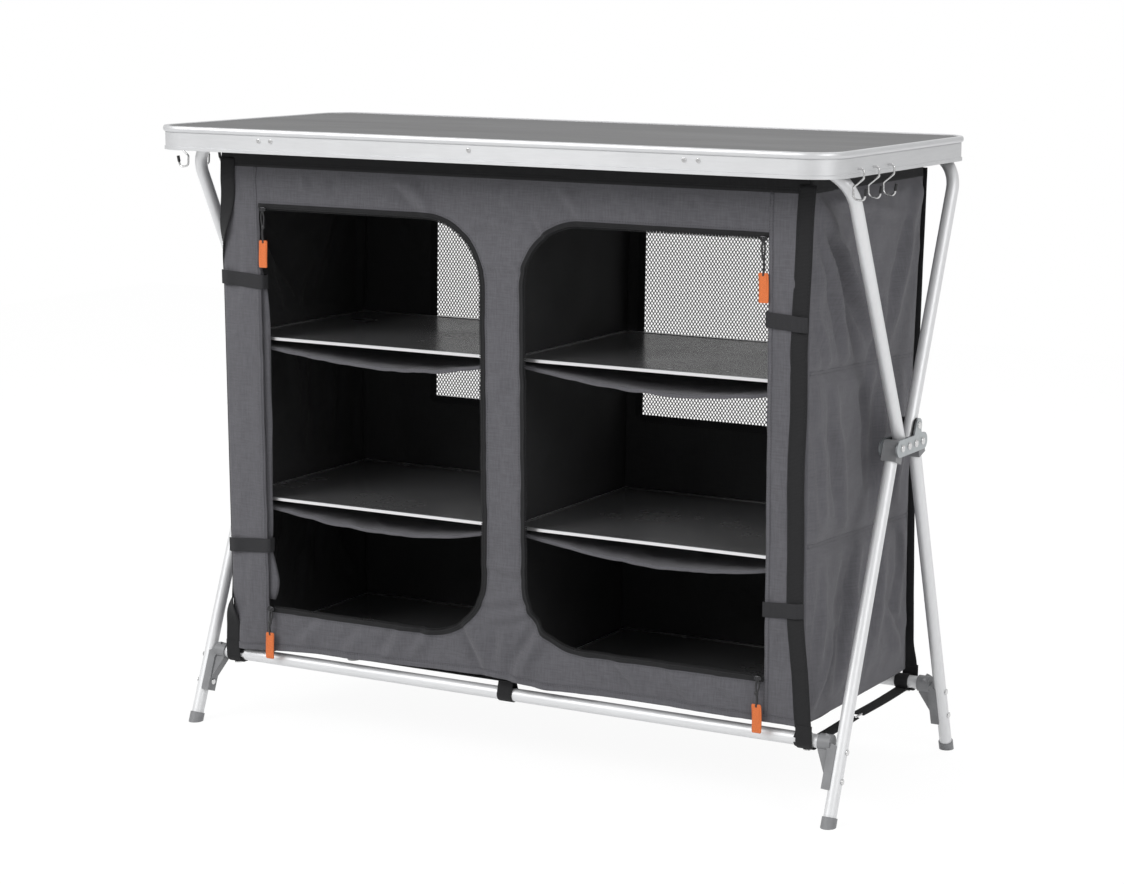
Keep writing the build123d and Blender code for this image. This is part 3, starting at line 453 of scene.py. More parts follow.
# which finish each CAD node that stays has
cadFinish = {
    "table_rim": railMetal, "table_braces": railMetal, "table_panel": worktopLaminate,
    "table_clips": blackPlastic, "rim_rivets": brightSteel, "joint_rivets": brightSteel,
    "front_rivets": brightSteel, "rear_rivets": brightSteel,
    "front_upper_tube": tubeMetal, "rear_upper_tube": tubeMetal, "front_crossbar": barMetal,
    "rear_crossbar": barMetal, "joint_plates_left": zincPlate, "joint_plates_right": zincPlate,
    "joint_liners": blackPlastic, "floor_strap_hooks": brightSteel,
}
for end in ("front", "rear"):
    cadFinish |= {f"{end}_leg_left": tubeMetal, f"{end}_leg_right": tubeMetal, f"{end}_elbows": greyPlastic,
                  f"{end}_feet": greyPlastic, f"{end}_leg_blocks": greyPlastic}
for side in ("left", "right"):
    cadFinish |= {f"hook_{side}_{place}": hookWire for place in ("front", "middle", "rear")}
    cadFinish |= {f"board_{level}_{side}": boardFinish for level in ("upper", "lower", "floor")}
for name, finish in cadFinish.items():
    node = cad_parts[name]
    if not node.data.materials:
        node.data.materials.append(finish)
    for slot in node.material_slots:
        slot.material = finish
print("materials ready")


# Mesh tools
def gridPatch(points, uv, keep=None, flip=False, slot=0):
    # quads between the neighbours of a grid of points, rows by columns
    rows, columns = points.shape[:2]
    index = np.arange(rows * columns).reshape(rows, columns)
    faces = np.stack([index[:-1, :-1], index[:-1, 1:], index[1:, 1:], index[1:, :-1]], axis=-1)
    if flip:
        faces = faces[..., ::-1]
    faces = faces.reshape(-1, 4)
    if keep is not None:
        faces = faces[keep.reshape(-1)]
    return {"points": points.reshape(-1, 3), "faces": faces, "uv": uv.reshape(-1, 2), "slot": slot}


def makePiece(name, patches, finishes, replaces=(), body="upper_frame", closed=False, thickness=0.0):
    # one mesh of all patches; a closed one is solid as it is, a thickness makes an open one solid inwards
    points = np.concatenate([p["points"] for p in patches])
    starts = np.cumsum([0] + [len(p["points"]) for p in patches])
    faces = [row for p, start in zip(patches, starts) for row in (p["faces"] + start).tolist()]
    corners = np.concatenate([p["uv"][p["faces"]].reshape(-1, 2) for p in patches])
    slots = np.concatenate([np.full(len(p["faces"]), p["slot"]) for p in patches])
    mesh = bpy.data.meshes.new(name)
    mesh.from_pydata(points.tolist(), [], faces)
    mesh.uv_layers.new(name="UVMap").data.foreach_set("uv", corners.ravel().astype(np.float32))
    mesh.polygons.foreach_set("material_index", slots.astype(np.int32))
    mesh.polygons.foreach_set("use_smooth", np.full(len(faces), True))
    for finish in finishes:
        mesh.materials.append(finish)
    shape = bmesh.new()
    shape.from_mesh(mesh)
    bmesh.ops.remove_doubles(shape, verts=shape.verts, dist=2e-6)
    loose = [v for v in shape.verts if not v.link_faces]
    bmesh.ops.delete(shape, geom=loose, context="VERTS")
    if closed:
        bmesh.ops.recalc_face_normals(shape, faces=shape.faces)
    shape.to_mesh(mesh)
    shape.free()
    piece = bpy.data.objects.new(name, mesh)
    scene.collection.objects.link(piece)
    if thickness:
        wall = piece.modifiers.new("wall", "SOLIDIFY")
        wall.thickness = thickness
        wall.offset = -1
        wall.use_quality_normals = True
        wall.material_offset = 1 if len(finishes) > 1 else 0
        wall.material_offset_rim = 0
    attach(piece, body)
    if replaces:
        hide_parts(*replaces)
    return piece


def makeThreads(name, threads):
    return makePiece(name, threads, [seamThread], closed=True)


def together(*values):
    # points from their coordinates, an array or one number for each
    return np.stack(np.broadcast_arrays(*values), axis=-1)


def gridOf(rows, columns):
    return np.meshgrid(rows, columns, indexing="ij")


def runLength(path):
    # length along a path up to each of its points
    return np.concatenate([[0], np.cumsum(np.linalg.norm(np.diff(path, axis=0), axis=1))])


def alongPath(places, run, path):
    # a path's points at the given running lengths
    return together(*(np.interp(places, run, values) for values in np.transpose(path)))


def keyLines(keys, pitch):
    # even steps of about one pitch between the keys, each key a line of its own
    runs = [np.linspace(a, b, max(2, int(round((b - a) / pitch)) + 1))[:-1]
            for a, b in zip(keys[:-1], keys[1:])]
    return np.concatenate(runs + [keys[-1:]])


def curveThrough(points, steps):
    # smooth curve through the points, a cubic between each two, evenly spaced along its length
    points = np.asarray(points, float)
    ends = np.concatenate([[2 * points[0] - points[1]], points, [2 * points[-1] - points[-2]]])
    a, b, c, d = ends[:-3, None], ends[1:-2, None], ends[2:-1, None], ends[3:, None]
    t = np.linspace(0, 1, 24, endpoint=False)[None, :, None]
    dense = 0.5 * (2 * b + (c - a) * t + (2 * a - 5 * b + 4 * c - d) * t**2 + (3 * b - a - 3 * c + d) * t**3)
    dense = np.concatenate([dense.reshape(-1, points.shape[1]), points[-1:]])
    run = runLength(dense)
    return alongPath(np.linspace(0, run[-1], steps), run, dense)


def directions(path):
    steps = np.gradient(path, axis=0)
    return steps / np.linalg.norm(steps, axis=1, keepdims=True)


def closedTube(points, uv, slot=0):
    # rings of points, closed at both ends by a ring drawn into its middle
    first, last = (np.broadcast_to(ring.mean(axis=0), ring.shape) for ring in (points[0], points[-1]))
    points = np.concatenate([first[None], points, last[None]])
    return gridPatch(points, np.concatenate([uv[:1], uv, uv[-1:]]), slot=slot)


def sweep(path, across, outwards, profile, slot=0, size=1.0):
    # profile (closed, its last point the first again) carried along the path and closed at both ends:
    # point = path + across * profile's first value + outwards * its second
    across, outwards = (np.broadcast_to(np.asarray(way, float), path.shape) for way in (across, outwards))
    sized = profile[None] * np.broadcast_to(size, len(path))[:, None, None]
    points = path[:, None] + across[:, None] * sized[..., :1] + outwards[:, None] * sized[..., 1:]
    return closedTube(points, together(runLength(profile)[None, :], runLength(path)[:, None]), slot)


def flatProfile(width, thickness, steps=6):
    # flat band with rounded edges: half circles at both sides of a straight top and bottom
    half, r = width / 2 - thickness / 2, thickness / 2
    turn = np.linspace(-math.pi / 2, math.pi / 2, 4)
    right = together(half + r * np.cos(turn), r * np.sin(turn))
    top = together(np.linspace(half, -half, steps)[1:-1], r)
    profile = np.concatenate([right, top, -right, -top])
    return np.concatenate([profile, profile[:1]])


def roundProfile(radius, sides=8):
    turn = np.linspace(0, 2 * math.pi, sides + 1)
    return radius * together(np.cos(turn), np.sin(turn))


def band(path, across, width, thickness):
    # webbing: a flat profile along a path, standing on the path's own outward side
    outwards = np.cross(directions(path), across)
    outwards /= np.linalg.norm(outwards, axis=1, keepdims=True)
    return sweep(path, across, outwards, flatProfile(width, thickness))


def rope(path, radius, slot=0, reference=(0, 1, 0)):
    along = directions(path)
    across = np.cross(along, reference)
    across /= np.maximum(np.linalg.norm(across, axis=1, keepdims=True), 1e-9)
    return sweep(path, across, np.cross(across, along), roundProfile(radius), slot)


def blob(centre, half, power, slot=0):
    # superellipsoid: each axis is its half size times a signed power of the ball's sine and cosine
    v, u = gridOf(np.linspace(-math.pi / 2, math.pi / 2, 13), np.linspace(-math.pi, math.pi, 18))
    cosU, sinU, cosV, sinV = (np.sign(value) * np.abs(value) ** (2 / power)
                              for value in (np.cos(u), np.sin(u), np.cos(v), np.sin(v)))
    points = together(cosV * cosU, cosV * sinU, sinV) * half + np.asarray(centre)
    points[0], points[-1] = points[0].mean(axis=0), points[-1].mean(axis=0)
    return gridPatch(points, together(u, v) * max(half), slot=slot)


def stitches(path, outwards, pitch=0.0042, length=0.0030, width=0.0006, rise=0.0004, slot=0):
    # one small closed lozenge for each stitch: two tips, two sides, a top and a bottom
    run = runLength(path)
    places = np.arange(pitch / 2, run[-1], pitch)
    centre, ahead, behind = (alongPath(places + shift, run, path) for shift in (0, length / 2, -length / 2))
    out = alongPath(places, run, np.broadcast_to(outwards, path.shape))
    side = np.cross(ahead - behind, out)
    side /= np.maximum(np.linalg.norm(side, axis=1, keepdims=True), 1e-9)
    corners = np.stack([behind, ahead, centre + side * width / 2, centre - side * width / 2,
                        centre + out * rise, centre - out * rise], axis=1)
    faces = np.array([[0, 2, 4], [2, 1, 4], [1, 3, 4], [3, 0, 4],
                      [2, 0, 5], [1, 2, 5], [3, 1, 5], [0, 3, 5]])
    faces = (faces[None] + 6 * np.arange(len(places))[:, None, None]).reshape(-1, 3)
    uv = np.tile(np.array([[0, 0], [0, 1], [1, 0], [-1, 0], [0, 0.5], [0, 0.5]]) * length, (len(places), 1))
    return {"points": corners.reshape(-1, 3), "faces": faces, "uv": uv, "slot": slot}


def foldField(u, v, folds):
    # sum of ridges: each a bell across the line from its first to its second point, with a crease along
    # one flank, fading at both ends; a height below zero makes a plain valley
    total = np.zeros(np.broadcast(u, v).shape)
    for u0, v0, u1, v1, width, height in folds:
        length = math.hypot(u1 - u0, v1 - v0)
        along = ((u - u0) * (u1 - u0) + (v - v0) * (v1 - v0)) / length**2
        off = ((u - u0) * (v1 - v0) - (v - v0) * (u1 - u0)) / length
        fade = np.sin(math.pi * np.clip(along, 0, 1)) ** 0.8
        crease = 0.55 * np.exp(-((off - 1.7 * width) / (0.65 * width)) ** 2) * (height > 0)
        total = total + height * fade * (np.exp(-((off / width) ** 2)) - crease)
    return total


def rumple(u, v, seed, pitch, height, waves=16):
    # sum of bent sine waves with seeded directions and lengths around one pitch
    chance = np.random.default_rng(seed)
    total = np.zeros(np.broadcast(u, v).shape)
    for _ in range(waves):
        angle, phase, bend = chance.uniform(0, 2 * math.pi, 3)
        wave = pitch * chance.uniform(0.6, 1.9)
        along = (u * math.cos(angle) + v * math.sin(angle)) * 2 * math.pi / wave
        across = (v * math.cos(angle) - u * math.sin(angle)) * 2 * math.pi / (2.3 * wave)
        total = total + np.sin(along + phase + 1.2 * np.sin(across + bend))
    return height * total / math.sqrt(waves)


def easeStep(value, low, high):
    t = np.clip((value - low) / (high - low), 0, 1)
    return t * t * (3 - 2 * t)


# Front panel with two door openings
frontPanel = {
    "halfWidth": 0.5022, "faceY": -0.1676, "top": 0.892, "thickness": 0.0012, "pitch": 0.0052,
    "flat": (1.010, 0.764), "slack": 0.0022, "lowSlack": 0.003, "lowWave": 0.002,
    "doors": ((-0.431, -0.031), (0.441, 0.042)),  # outer and inner edge of each opening
    "doorLow": 0.196, "doorHigh": 0.826, "cornerRadius": 0.096,
    "hem": ((-0.5022, 0.122), (-0.463, 0.124), (-0.352, 0.132), (-0.151, 0.136), (-0.010, 0.139),
            (0.080, 0.130), (0.134, 0.132), (0.269, 0.134), (0.484, 0.131), (0.5022, 0.129)),
    "folds": (  # x, z of both ends, half width, height
        (-0.072, 0.240, -0.006, 0.128, 0.011, 0.0085), (0.088, 0.240, 0.022, 0.132, 0.011, 0.0090),
        (-0.240, 0.184, -0.292, 0.130, 0.010, 0.0050), (-0.172, 0.196, -0.216, 0.132, 0.010, 0.0056),
        (-0.112, 0.214, -0.160, 0.150, 0.009, 0.0056), (0.134, 0.208, 0.178, 0.150, 0.010, 0.0034),
        (0.190, 0.205, 0.246, 0.150, 0.010, 0.0052), (0.275, 0.196, 0.345, 0.140, 0.010, 0.0048),
        (0.360, 0.194, 0.425, 0.138, 0.009, 0.0046), (-0.320, 0.186, -0.385, 0.132, 0.010, 0.0044),
        (-0.034, 0.312, 0.044, 0.304, 0.007, 0.0032), (-0.050, 0.250, 0.056, 0.268, 0.007, 0.0036),
        (-0.026, 0.222, 0.074, 0.254, 0.007, 0.0036), (0.006, 0.220, -0.004, 0.130, 0.009, 0.0046),
        (-0.192, 0.894, -0.112, 0.830, 0.010, 0.0056), (-0.158, 0.888, -0.116, 0.838, 0.008, 0.0036),
        (-0.066, 0.810, -0.012, 0.830, 0.008, 0.0040), (-0.024, 0.830, 0.062, 0.810, 0.008, 0.0046),
        (-0.036, 0.770, 0.014, 0.756, 0.007, 0.0032), (0.002, 0.756, 0.054, 0.766, 0.007, 0.0032),
        (0.058, 0.844, 0.094, 0.800, 0.008, 0.0050), (0.100, 0.890, 0.150, 0.832, 0.009, 0.0044),
        (-0.016, 0.600, 0.024, 0.480, 0.008, 0.0026), (-0.350, 0.892, -0.342, 0.850, 0.007, 0.0026),
        (-0.270, 0.892, -0.285, 0.845, 0.008, 0.0030), (0.230, 0.892, 0.218, 0.846, 0.008, 0.0030),
        (0.330, 0.892, 0.345, 0.848, 0.008, 0.0028), (0.020, 0.892, 0.012, 0.850, 0.008, 0.0030),
        (-0.460, 0.300, -0.470, 0.160, 0.006, 0.0020), (-0.452, 0.860, -0.470, 0.640, 0.006, 0.0018),
        (0.458, 0.850, 0.472, 0.600, 0.006, 0.0018), (0.455, 0.560, 0.470, 0.320, 0.006, 0.0016),
    ),
}


def frontSurface(x, z):
    # Y of the panel's outer face: flat, plus folds, a slack lower strip and a fine rumple, all fading at
    # the band and the corners
    shape = frontPanel
    low = 1 - easeStep(z, 0.135, 0.21)
    slack = shape["slack"] + low * (shape["lowSlack"] + shape["lowWave"] * np.sin(x * 21 + 0.7))
    fade = 1 - easeStep(z, 0.865, 0.892)
    edge = 1 - easeStep(np.abs(x), 0.478, 0.500)
    relief = foldField(x, z, shape["folds"]) + rumple(x, z, 5, 0.060, 0.0007) + rumple(x, z, 6, 0.022, 0.0003)
    return shape["faceY"] - (slack + relief) * fade * edge


def doorDistance(x, z, door):
    # distance to the opening's edge, below zero inside: a rectangle whose two inner corners are round
    outer, inner = door
    middleX, halfX = (outer + inner) / 2, abs(outer - inner) / 2
    middleZ = (frontPanel["doorLow"] + frontPanel["doorHigh"]) / 2
    halfZ = (frontPanel["doorHigh"] - frontPanel["doorLow"]) / 2
    radius = np.where((x - middleX) * (inner - middleX) > 0, frontPanel["cornerRadius"], 0.002)
    qx, qz = np.abs(x - middleX) - halfX + radius, np.abs(z - middleZ) - halfZ + radius
    outside = np.hypot(np.maximum(qx, 0), np.maximum(qz, 0))
    distance = np.minimum(np.maximum(qx, qz), 0) + outside - radius
    atCorner = (qx > 0) & (qz > 0)
    wayX = np.where(atCorner, qx / np.maximum(outside, 1e-9), qx >= qz) * np.sign(x - middleX)
    wayZ = np.where(atCorner, qz / np.maximum(outside, 1e-9), qx < qz) * np.sign(z - middleZ)
    return distance, wayX, wayZ


def doorPath(door, pitch=0.005):
    # the zipped three sides, from the outer top corner round to the outer bottom corner, and the way outwards
    outer, inner = door
    low, high, radius = frontPanel["doorLow"], frontPanel["doorHigh"], frontPanel["cornerRadius"]
    side = math.copysign(1, inner - outer)
    turnX = inner - side * radius
    top = np.linspace(outer, turnX, int(abs(turnX - outer) / pitch))[:-1]
    angle = np.linspace(math.pi / 2, 0, 30)
    inside = np.linspace(high - radius, low + radius, int((high - low - 2 * radius) / pitch))[1:-1]
    straight, still = np.ones(len(top)), np.ones(len(inside))
    sine, cosine = np.sin(angle), np.cos(angle)
    x = np.concatenate([top, turnX + side * radius * cosine, inner * still,
                        turnX + side * radius * cosine[::-1], top[::-1]])
    z = np.concatenate([high * straight, high - radius + radius * sine, inside,
                        low + radius - radius * sine[::-1], low * straight])
    wayX = side * np.concatenate([0 * straight, cosine, still, cosine[::-1], 0 * straight])
    wayZ = np.concatenate([straight, sine, 0 * still, -sine[::-1], -straight])
    return x, z, wayX, wayZ


def makeFrontPanel():
    shape = frontPanel
    half, pitch = shape["halfWidth"], shape["pitch"]
    (leftOuter, leftInner), (rightOuter, rightInner) = shape["doors"]
    columns = keyLines([-half, leftOuter, leftInner, rightInner, rightOuter, half], pitch)
    rows = keyLines([0.0, shape["doorLow"], shape["doorHigh"], shape["top"]], pitch)
    rows = rows[rows > 0.125]
    z, x = gridOf(rows, columns)
    hemX, hemZ = np.array(shape["hem"]).T
    hem = np.interp(x, hemX, hemZ)
    low = rows[0]
    stretch = (shape["doorLow"] - hem) / (shape["doorLow"] - low)
    z = np.where(z < shape["doorLow"], hem + (z - low) * stretch, z)
    for door in shape["doors"]:
        distance, wayX, wayZ = doorDistance(x, z, door)
        near = np.abs(distance) < 0.62 * pitch
        x = x - near * distance * wayX
        z = z - near * distance * wayZ
    middles = [(v[:-1, :-1] + v[1:, 1:] + v[:-1, 1:] + v[1:, :-1]) / 4 for v in (x, z)]
    keep = np.min([doorDistance(*middles, door)[0] for door in shape["doors"]], axis=0) > 0
    points = together(x, frontSurface(x, z), z)
    panel = makePiece("front_cloth", [gridPatch(points, together(x, z), keep)],
                      [greyCloth, blackLining], ["front_panel"], thickness=shape["thickness"])


def onFront(x, z, rise):
    # points that stand a given height off the front panel's face
    return together(x, frontSurface(x, z) - rise, z)


def trimOnFront(x, z, wayX, wayZ, profile):
    # a closed profile (way outwards from the path, height off the cloth) carried along a line on the panel
    px = x[:, None] + wayX[:, None] * profile[None, :, 0]
    pz = z[:, None] + wayZ[:, None] * profile[None, :, 0]
    points = together(px, frontSurface(px, pz) - profile[None, :, 1], pz)
    run = runLength(together(x, z))
    return closedTube(points, together(runLength(profile)[None, :], run[:, None]))


# Zip tapes, teeth and piping round the openings
zipTape = {"width": 0.0075, "thickness": 0.0012, "lap": 0.001, "rise": 0.0009,
           "piping": 0.0017, "pipingPlace": (0.0005, 0.0006), "seams": ((-0.0024, 0.0012), (0.0022, 0.0002)),
           "toothPitch": 0.0026, "toothLong": 0.0024, "toothWide": 0.0014, "toothHigh": 0.0016,
           "toothInwards": 0.0022, "toothBehind": 0.0004, "endGap": 0.012}


def boxes(centre, axisA, axisB, axisC):
    # one box of six faces for each centre, from its three half axes
    signs = np.array([[a, b, c] for a in (-1, 1) for b in (-1, 1) for c in (-1, 1)], float)
    corners = centre[:, None] + sum(signs[None, :, k:k + 1] * np.broadcast_to(axis, centre.shape)[:, None]
                                    for k, axis in enumerate((axisA, axisB, axisC)))
    faces = np.array([[0, 1, 3, 2], [4, 6, 7, 5], [0, 4, 5, 1], [2, 3, 7, 6], [0, 2, 6, 4], [1, 5, 7, 3]])
    faces = (faces[None] + 8 * np.arange(len(centre))[:, None, None]).reshape(-1, 4)
    uv = corners[..., [0, 2]].reshape(-1, 2)
    return {"points": corners.reshape(-1, 3), "faces": faces, "uv": uv, "slot": 0}


def makeZipTapes():
    shape = zipTape
    patches, seams = [], []
    tape = flatProfile(shape["width"], shape["thickness"], 4)
    tape = tape + (shape["width"] / 2 - shape["lap"], shape["rise"])
    piping = roundProfile(shape["piping"]) + shape["pipingPlace"]
    for door in frontPanel["doors"]:
        x, z, wayX, wayZ = doorPath(door)
        patches += [trimOnFront(x, z, wayX, wayZ, tape), trimOnFront(x, z, wayX, wayZ, piping)]
        run = runLength(together(x, z))
        places = np.arange(shape["endGap"], run[-1] - shape["endGap"], shape["toothPitch"])
        toothX, toothZ, outX, outZ = (np.interp(places, run, values) for values in (x, z, wayX, wayZ))
        way = together(outX, 0.0, outZ)
        centre = onFront(toothX, toothZ, -shape["toothBehind"]) - way * shape["toothInwards"]
        patches.append(boxes(centre, way * shape["toothLong"] / 2,
                             np.cross(way, (0, 1, 0)) * shape["toothWide"] / 2,
                             (0, shape["toothHigh"] / 2, 0)))
        for past, rise in shape["seams"]:
            inset = shape["width"] + past
            seams.append(stitches(onFront(x + wayX * inset, z + wayZ * inset, rise), (0, -1, 0)))
    makePiece("zip_tape", patches, [blackWebbing], ["zip_tapes"], closed=True)
    makeThreads("zip_tape_stitches", seams)


# Lapped seams and the stitched hem on the front panel
frontSeams = {"places": (-0.4375, 0.4445), "lap": (0.0065, 0.0007), "threads": (-0.0022, 0.0022),
              "hemFold": (0.011, 0.0011), "hemMiddle": 0.005, "hemThreads": (0.0078, 0.0098),
              "rise": 0.0003, "step": 0.006, "hemFrom": -0.498, "hemTo": 0.4985}


def makeFrontSeams():
    shape = frontSeams
    seams, threads = [], []
    hemX, hemZ = np.array(frontPanel["hem"]).T
    lap = flatProfile(*shape["lap"], 4) + (0, shape["rise"])
    for place in shape["places"]:
        z = np.arange(float(np.interp(place, hemX, hemZ)) + 0.001, frontPanel["top"], shape["step"])
        x = np.full(len(z), place)
        seams.append(trimOnFront(x, z, np.sign(x), 0 * z, lap))
        for shift in shape["threads"]:
            threads.append(stitches(onFront(x + shift, z, 0.0007), (0, -1, 0)))
    x = np.arange(shape["hemFrom"], shape["hemTo"], shape["step"])
    hem = np.interp(x, hemX, hemZ)
    fold = flatProfile(*shape["hemFold"], 4) + (shape["hemMiddle"], shape["rise"])
    seams.append(trimOnFront(x, hem, 0 * x, np.ones(len(x)), fold))
    for lift in shape["hemThreads"]:
        threads.append(stitches(onFront(x, hem + lift, 0.0009), (0, -1, 0)))
    makePiece("front_seams", seams, [greyCloth], closed=True)
    makeThreads("front_stitches", threads)


# Side panels
sidePanel = {
    "faceX": 0.5022, "frontY": -0.1670, "bottomFront": 0.133, "bottomRear": 0.130, "top": 0.892,
    "thickness": 0.0012, "pitch": 0.0048, "flat": (0.388, 0.768),
    "rear": ((0.120, 0.199), (0.337, 0.1955), (0.432, 0.1965),  # height and y of points of the rear edge
             (0.598, 0.203), (0.762, 0.216), (0.893, 0.2275)),
    "seams": ((0.638, 0.620), (0.392, 0.374)),  # height at the front and at the rear
    "seamSpan": 0.39, "seamRear": 0.190, "lap": (0.007, 0.0009), "threads": (-0.0022, 0.0022),
    "belly": 0.0075, "underWebbing": 0.027, "gridReach": (0.76, 0.38),
    "folds": (  # y, z of both ends, half width, height
        (-0.158, 0.888, 0.046, 0.655, 0.010, 0.0145), (-0.150, 0.862, -0.050, 0.628, 0.009, 0.0110),
        (-0.152, 0.720, -0.102, 0.628, 0.008, 0.0075), (-0.108, 0.838, 0.004, 0.600, 0.010, -0.0095),
        (0.000, 0.620, 0.026, 0.440, 0.011, -0.0095), (0.196, 0.872, 0.086, 0.640, 0.014, 0.0080),
        (0.080, 0.720, 0.020, 0.560, 0.012, 0.0070), (-0.120, 0.880, 0.165, 0.835, 0.009, 0.0050),
        (-0.100, 0.628, -0.052, 0.390, 0.013, 0.0090), (0.070, 0.612, 0.064, 0.392, 0.015, 0.0085),
        (0.150, 0.606, 0.132, 0.392, 0.013, 0.0070), (-0.136, 0.560, -0.120, 0.410, 0.009, 0.0050),
        (-0.040, 0.372, -0.098, 0.180, 0.014, -0.0085), (0.000, 0.372, -0.058, 0.150, 0.012, 0.0100),
        (-0.118, 0.360, -0.136, 0.190, 0.010, 0.0065), (-0.158, 0.140, -0.060, 0.290, 0.010, 0.0065),
        (0.094, 0.368, 0.060, 0.170, 0.014, 0.0085), (0.172, 0.140, 0.080, 0.270, 0.012, 0.0070),
        (0.004, 0.135, 0.024, 0.250, 0.010, 0.0055), (0.160, 0.372, 0.142, 0.220, 0.011, 0.0060),
    ),
}


def rearEdge(z):
    heights, places = np.array(sidePanel["rear"]).T
    return np.interp(z, heights, places)


def sideSeam(y, front, rear):
    return front + (rear - front) * (y - sidePanel["frontY"]) / sidePanel["seamSpan"]


def sideRelief(y, z, side, seed):
    # how far the side cloth stands out: folds and rumple, pinned at the edges and drawn in along its seams
    shape = sidePanel
    relief = shape["belly"] + foldField(y, z, shape["folds"])
    relief = relief + rumple(y, z, seed, 0.090, 0.0016) + rumple(y, z, seed + 1, 0.030, 0.0004)
    for seam in shape["seams"]:
        relief = relief * (1 - 0.75 * np.exp(-((z - sideSeam(y, *seam)) / 0.012) ** 2))
    start = shape["frontY"] + (shape["underWebbing"] if side < 0 else 0)
    pinned = easeStep(y, start, start + 0.027) * (1 - easeStep(y, rearEdge(z) - 0.022, rearEdge(z)))
    pinned = pinned * (0.2 + 0.8 * easeStep(z, 0.132, 0.180))  # sewn to the floor cloth
    return np.maximum(relief, -0.001) * pinned * (1 - easeStep(z, 0.868, 0.892)) + 0.0004


def makeSidePanel(side, seed):
    shape = sidePanel
    name = "left" if side < 0 else "right"
    v, u = gridOf(*(np.linspace(0, 1, int(reach / shape["pitch"])) for reach in shape["gridReach"]))
    bottom = shape["bottomFront"] + (shape["bottomRear"] - shape["bottomFront"]) * u
    z = bottom + (shape["top"] - bottom) * v
    y = shape["frontY"] + (rearEdge(z) - shape["frontY"]) * u
    points = together(side * (shape["faceX"] + sideRelief(y, z, side, seed)), y, z)
    panel = makePiece(f"side_cloth_{name}", [gridPatch(points, together(y, z), flip=side < 0)],
                      [greyCloth, blackLining], [f"side_panel_{name}"], thickness=shape["thickness"])
    laps, threads = [], []
    for seam in shape["seams"]:
        y = np.linspace(shape["frontY"] + 0.004, shape["seamRear"], 60)
        z = sideSeam(y, *seam)
        y = np.minimum(y, rearEdge(z) - 0.002)
        path = together(side * (shape["faceX"] + sideRelief(y, z, side, seed)), y, z)
        laps.append(sweep(path, (0, 0, 1), (side, 0, 0), flatProfile(*shape["lap"], 4)))
        for lift in shape["threads"]:
            threads.append(stitches(path + (side * 0.0006, 0, lift), (side, 0, 0)))
    makePiece(f"side_seams_{name}", laps, [greyCloth], closed=True)
    makeThreads(f"side_stitches_{name}", threads)


# Back panel with two net windows
backPanel = {
    "halfWidth": 0.5022, "bottom": 0.130, "top": 0.892, "lowY": 0.1990, "highY": 0.2278, "thickness": 0.0012,
    "pitch": 0.0062, "windowX": (0.024, 0.370), "windowZ": (0.481, 0.830),
    "binding": (0.012, 0.0008), "bindingPlace": ((0.0006, 1), (-0.0019, -1)), "threads": (-0.0042, 0.0042),
    "folds": (  # x, z of both ends, half width, height
        (-0.480, 0.860, -0.390, 0.700, 0.010, 0.0030), (0.480, 0.860, 0.390, 0.700, 0.010, 0.0030),
        (-0.300, 0.470, -0.200, 0.250, 0.010, 0.0034), (0.260, 0.470, 0.330, 0.240, 0.010, 0.0032),
        (-0.080, 0.460, 0.020, 0.250, 0.009, 0.0030), (0.090, 0.440, 0.160, 0.180, 0.010, 0.0030),
        (-0.440, 0.460, -0.400, 0.200, 0.009, 0.0030), (0.450, 0.470, 0.430, 0.200, 0.009, 0.0028),
        (-0.350, 0.150, -0.150, 0.240, 0.009, 0.0026), (0.350, 0.150, 0.180, 0.230, 0.009, 0.0026),
    ),
}


def backLine(z):
    shape = backPanel
    share = (z - shape["bottom"]) / (shape["top"] - shape["bottom"])
    return shape["lowY"] + (shape["highY"] - shape["lowY"]) * share


def backSurface(x, z):
    # Y of the back's outer face: a leaning plane whose sides follow the side panels' rear edge
    shape = backPanel
    share = easeStep(np.abs(x), 0.42, shape["halfWidth"])
    base = backLine(z) + (rearEdge(z) + 0.001 - backLine(z)) * share
    relief = foldField(x, z, shape["folds"]) + rumple(x, z, 31, 0.11, 0.0011)
    relief = relief + rumple(x, z, 32, 0.035, 0.0003)
    (nearX, farX), (lowZ, highZ) = shape["windowX"], shape["windowZ"]
    gapX = np.abs(np.abs(x) - (nearX + farX) / 2) - (farX - nearX) / 2
    gapZ = np.abs(z - (lowZ + highZ) / 2) - (highZ - lowZ) / 2
    still = easeStep(np.maximum(gapX, gapZ), 0.002, 0.03) * (1 - easeStep(z, 0.868, 0.892)) * (1 - share)
    return base + np.maximum(relief, -0.0008) * still


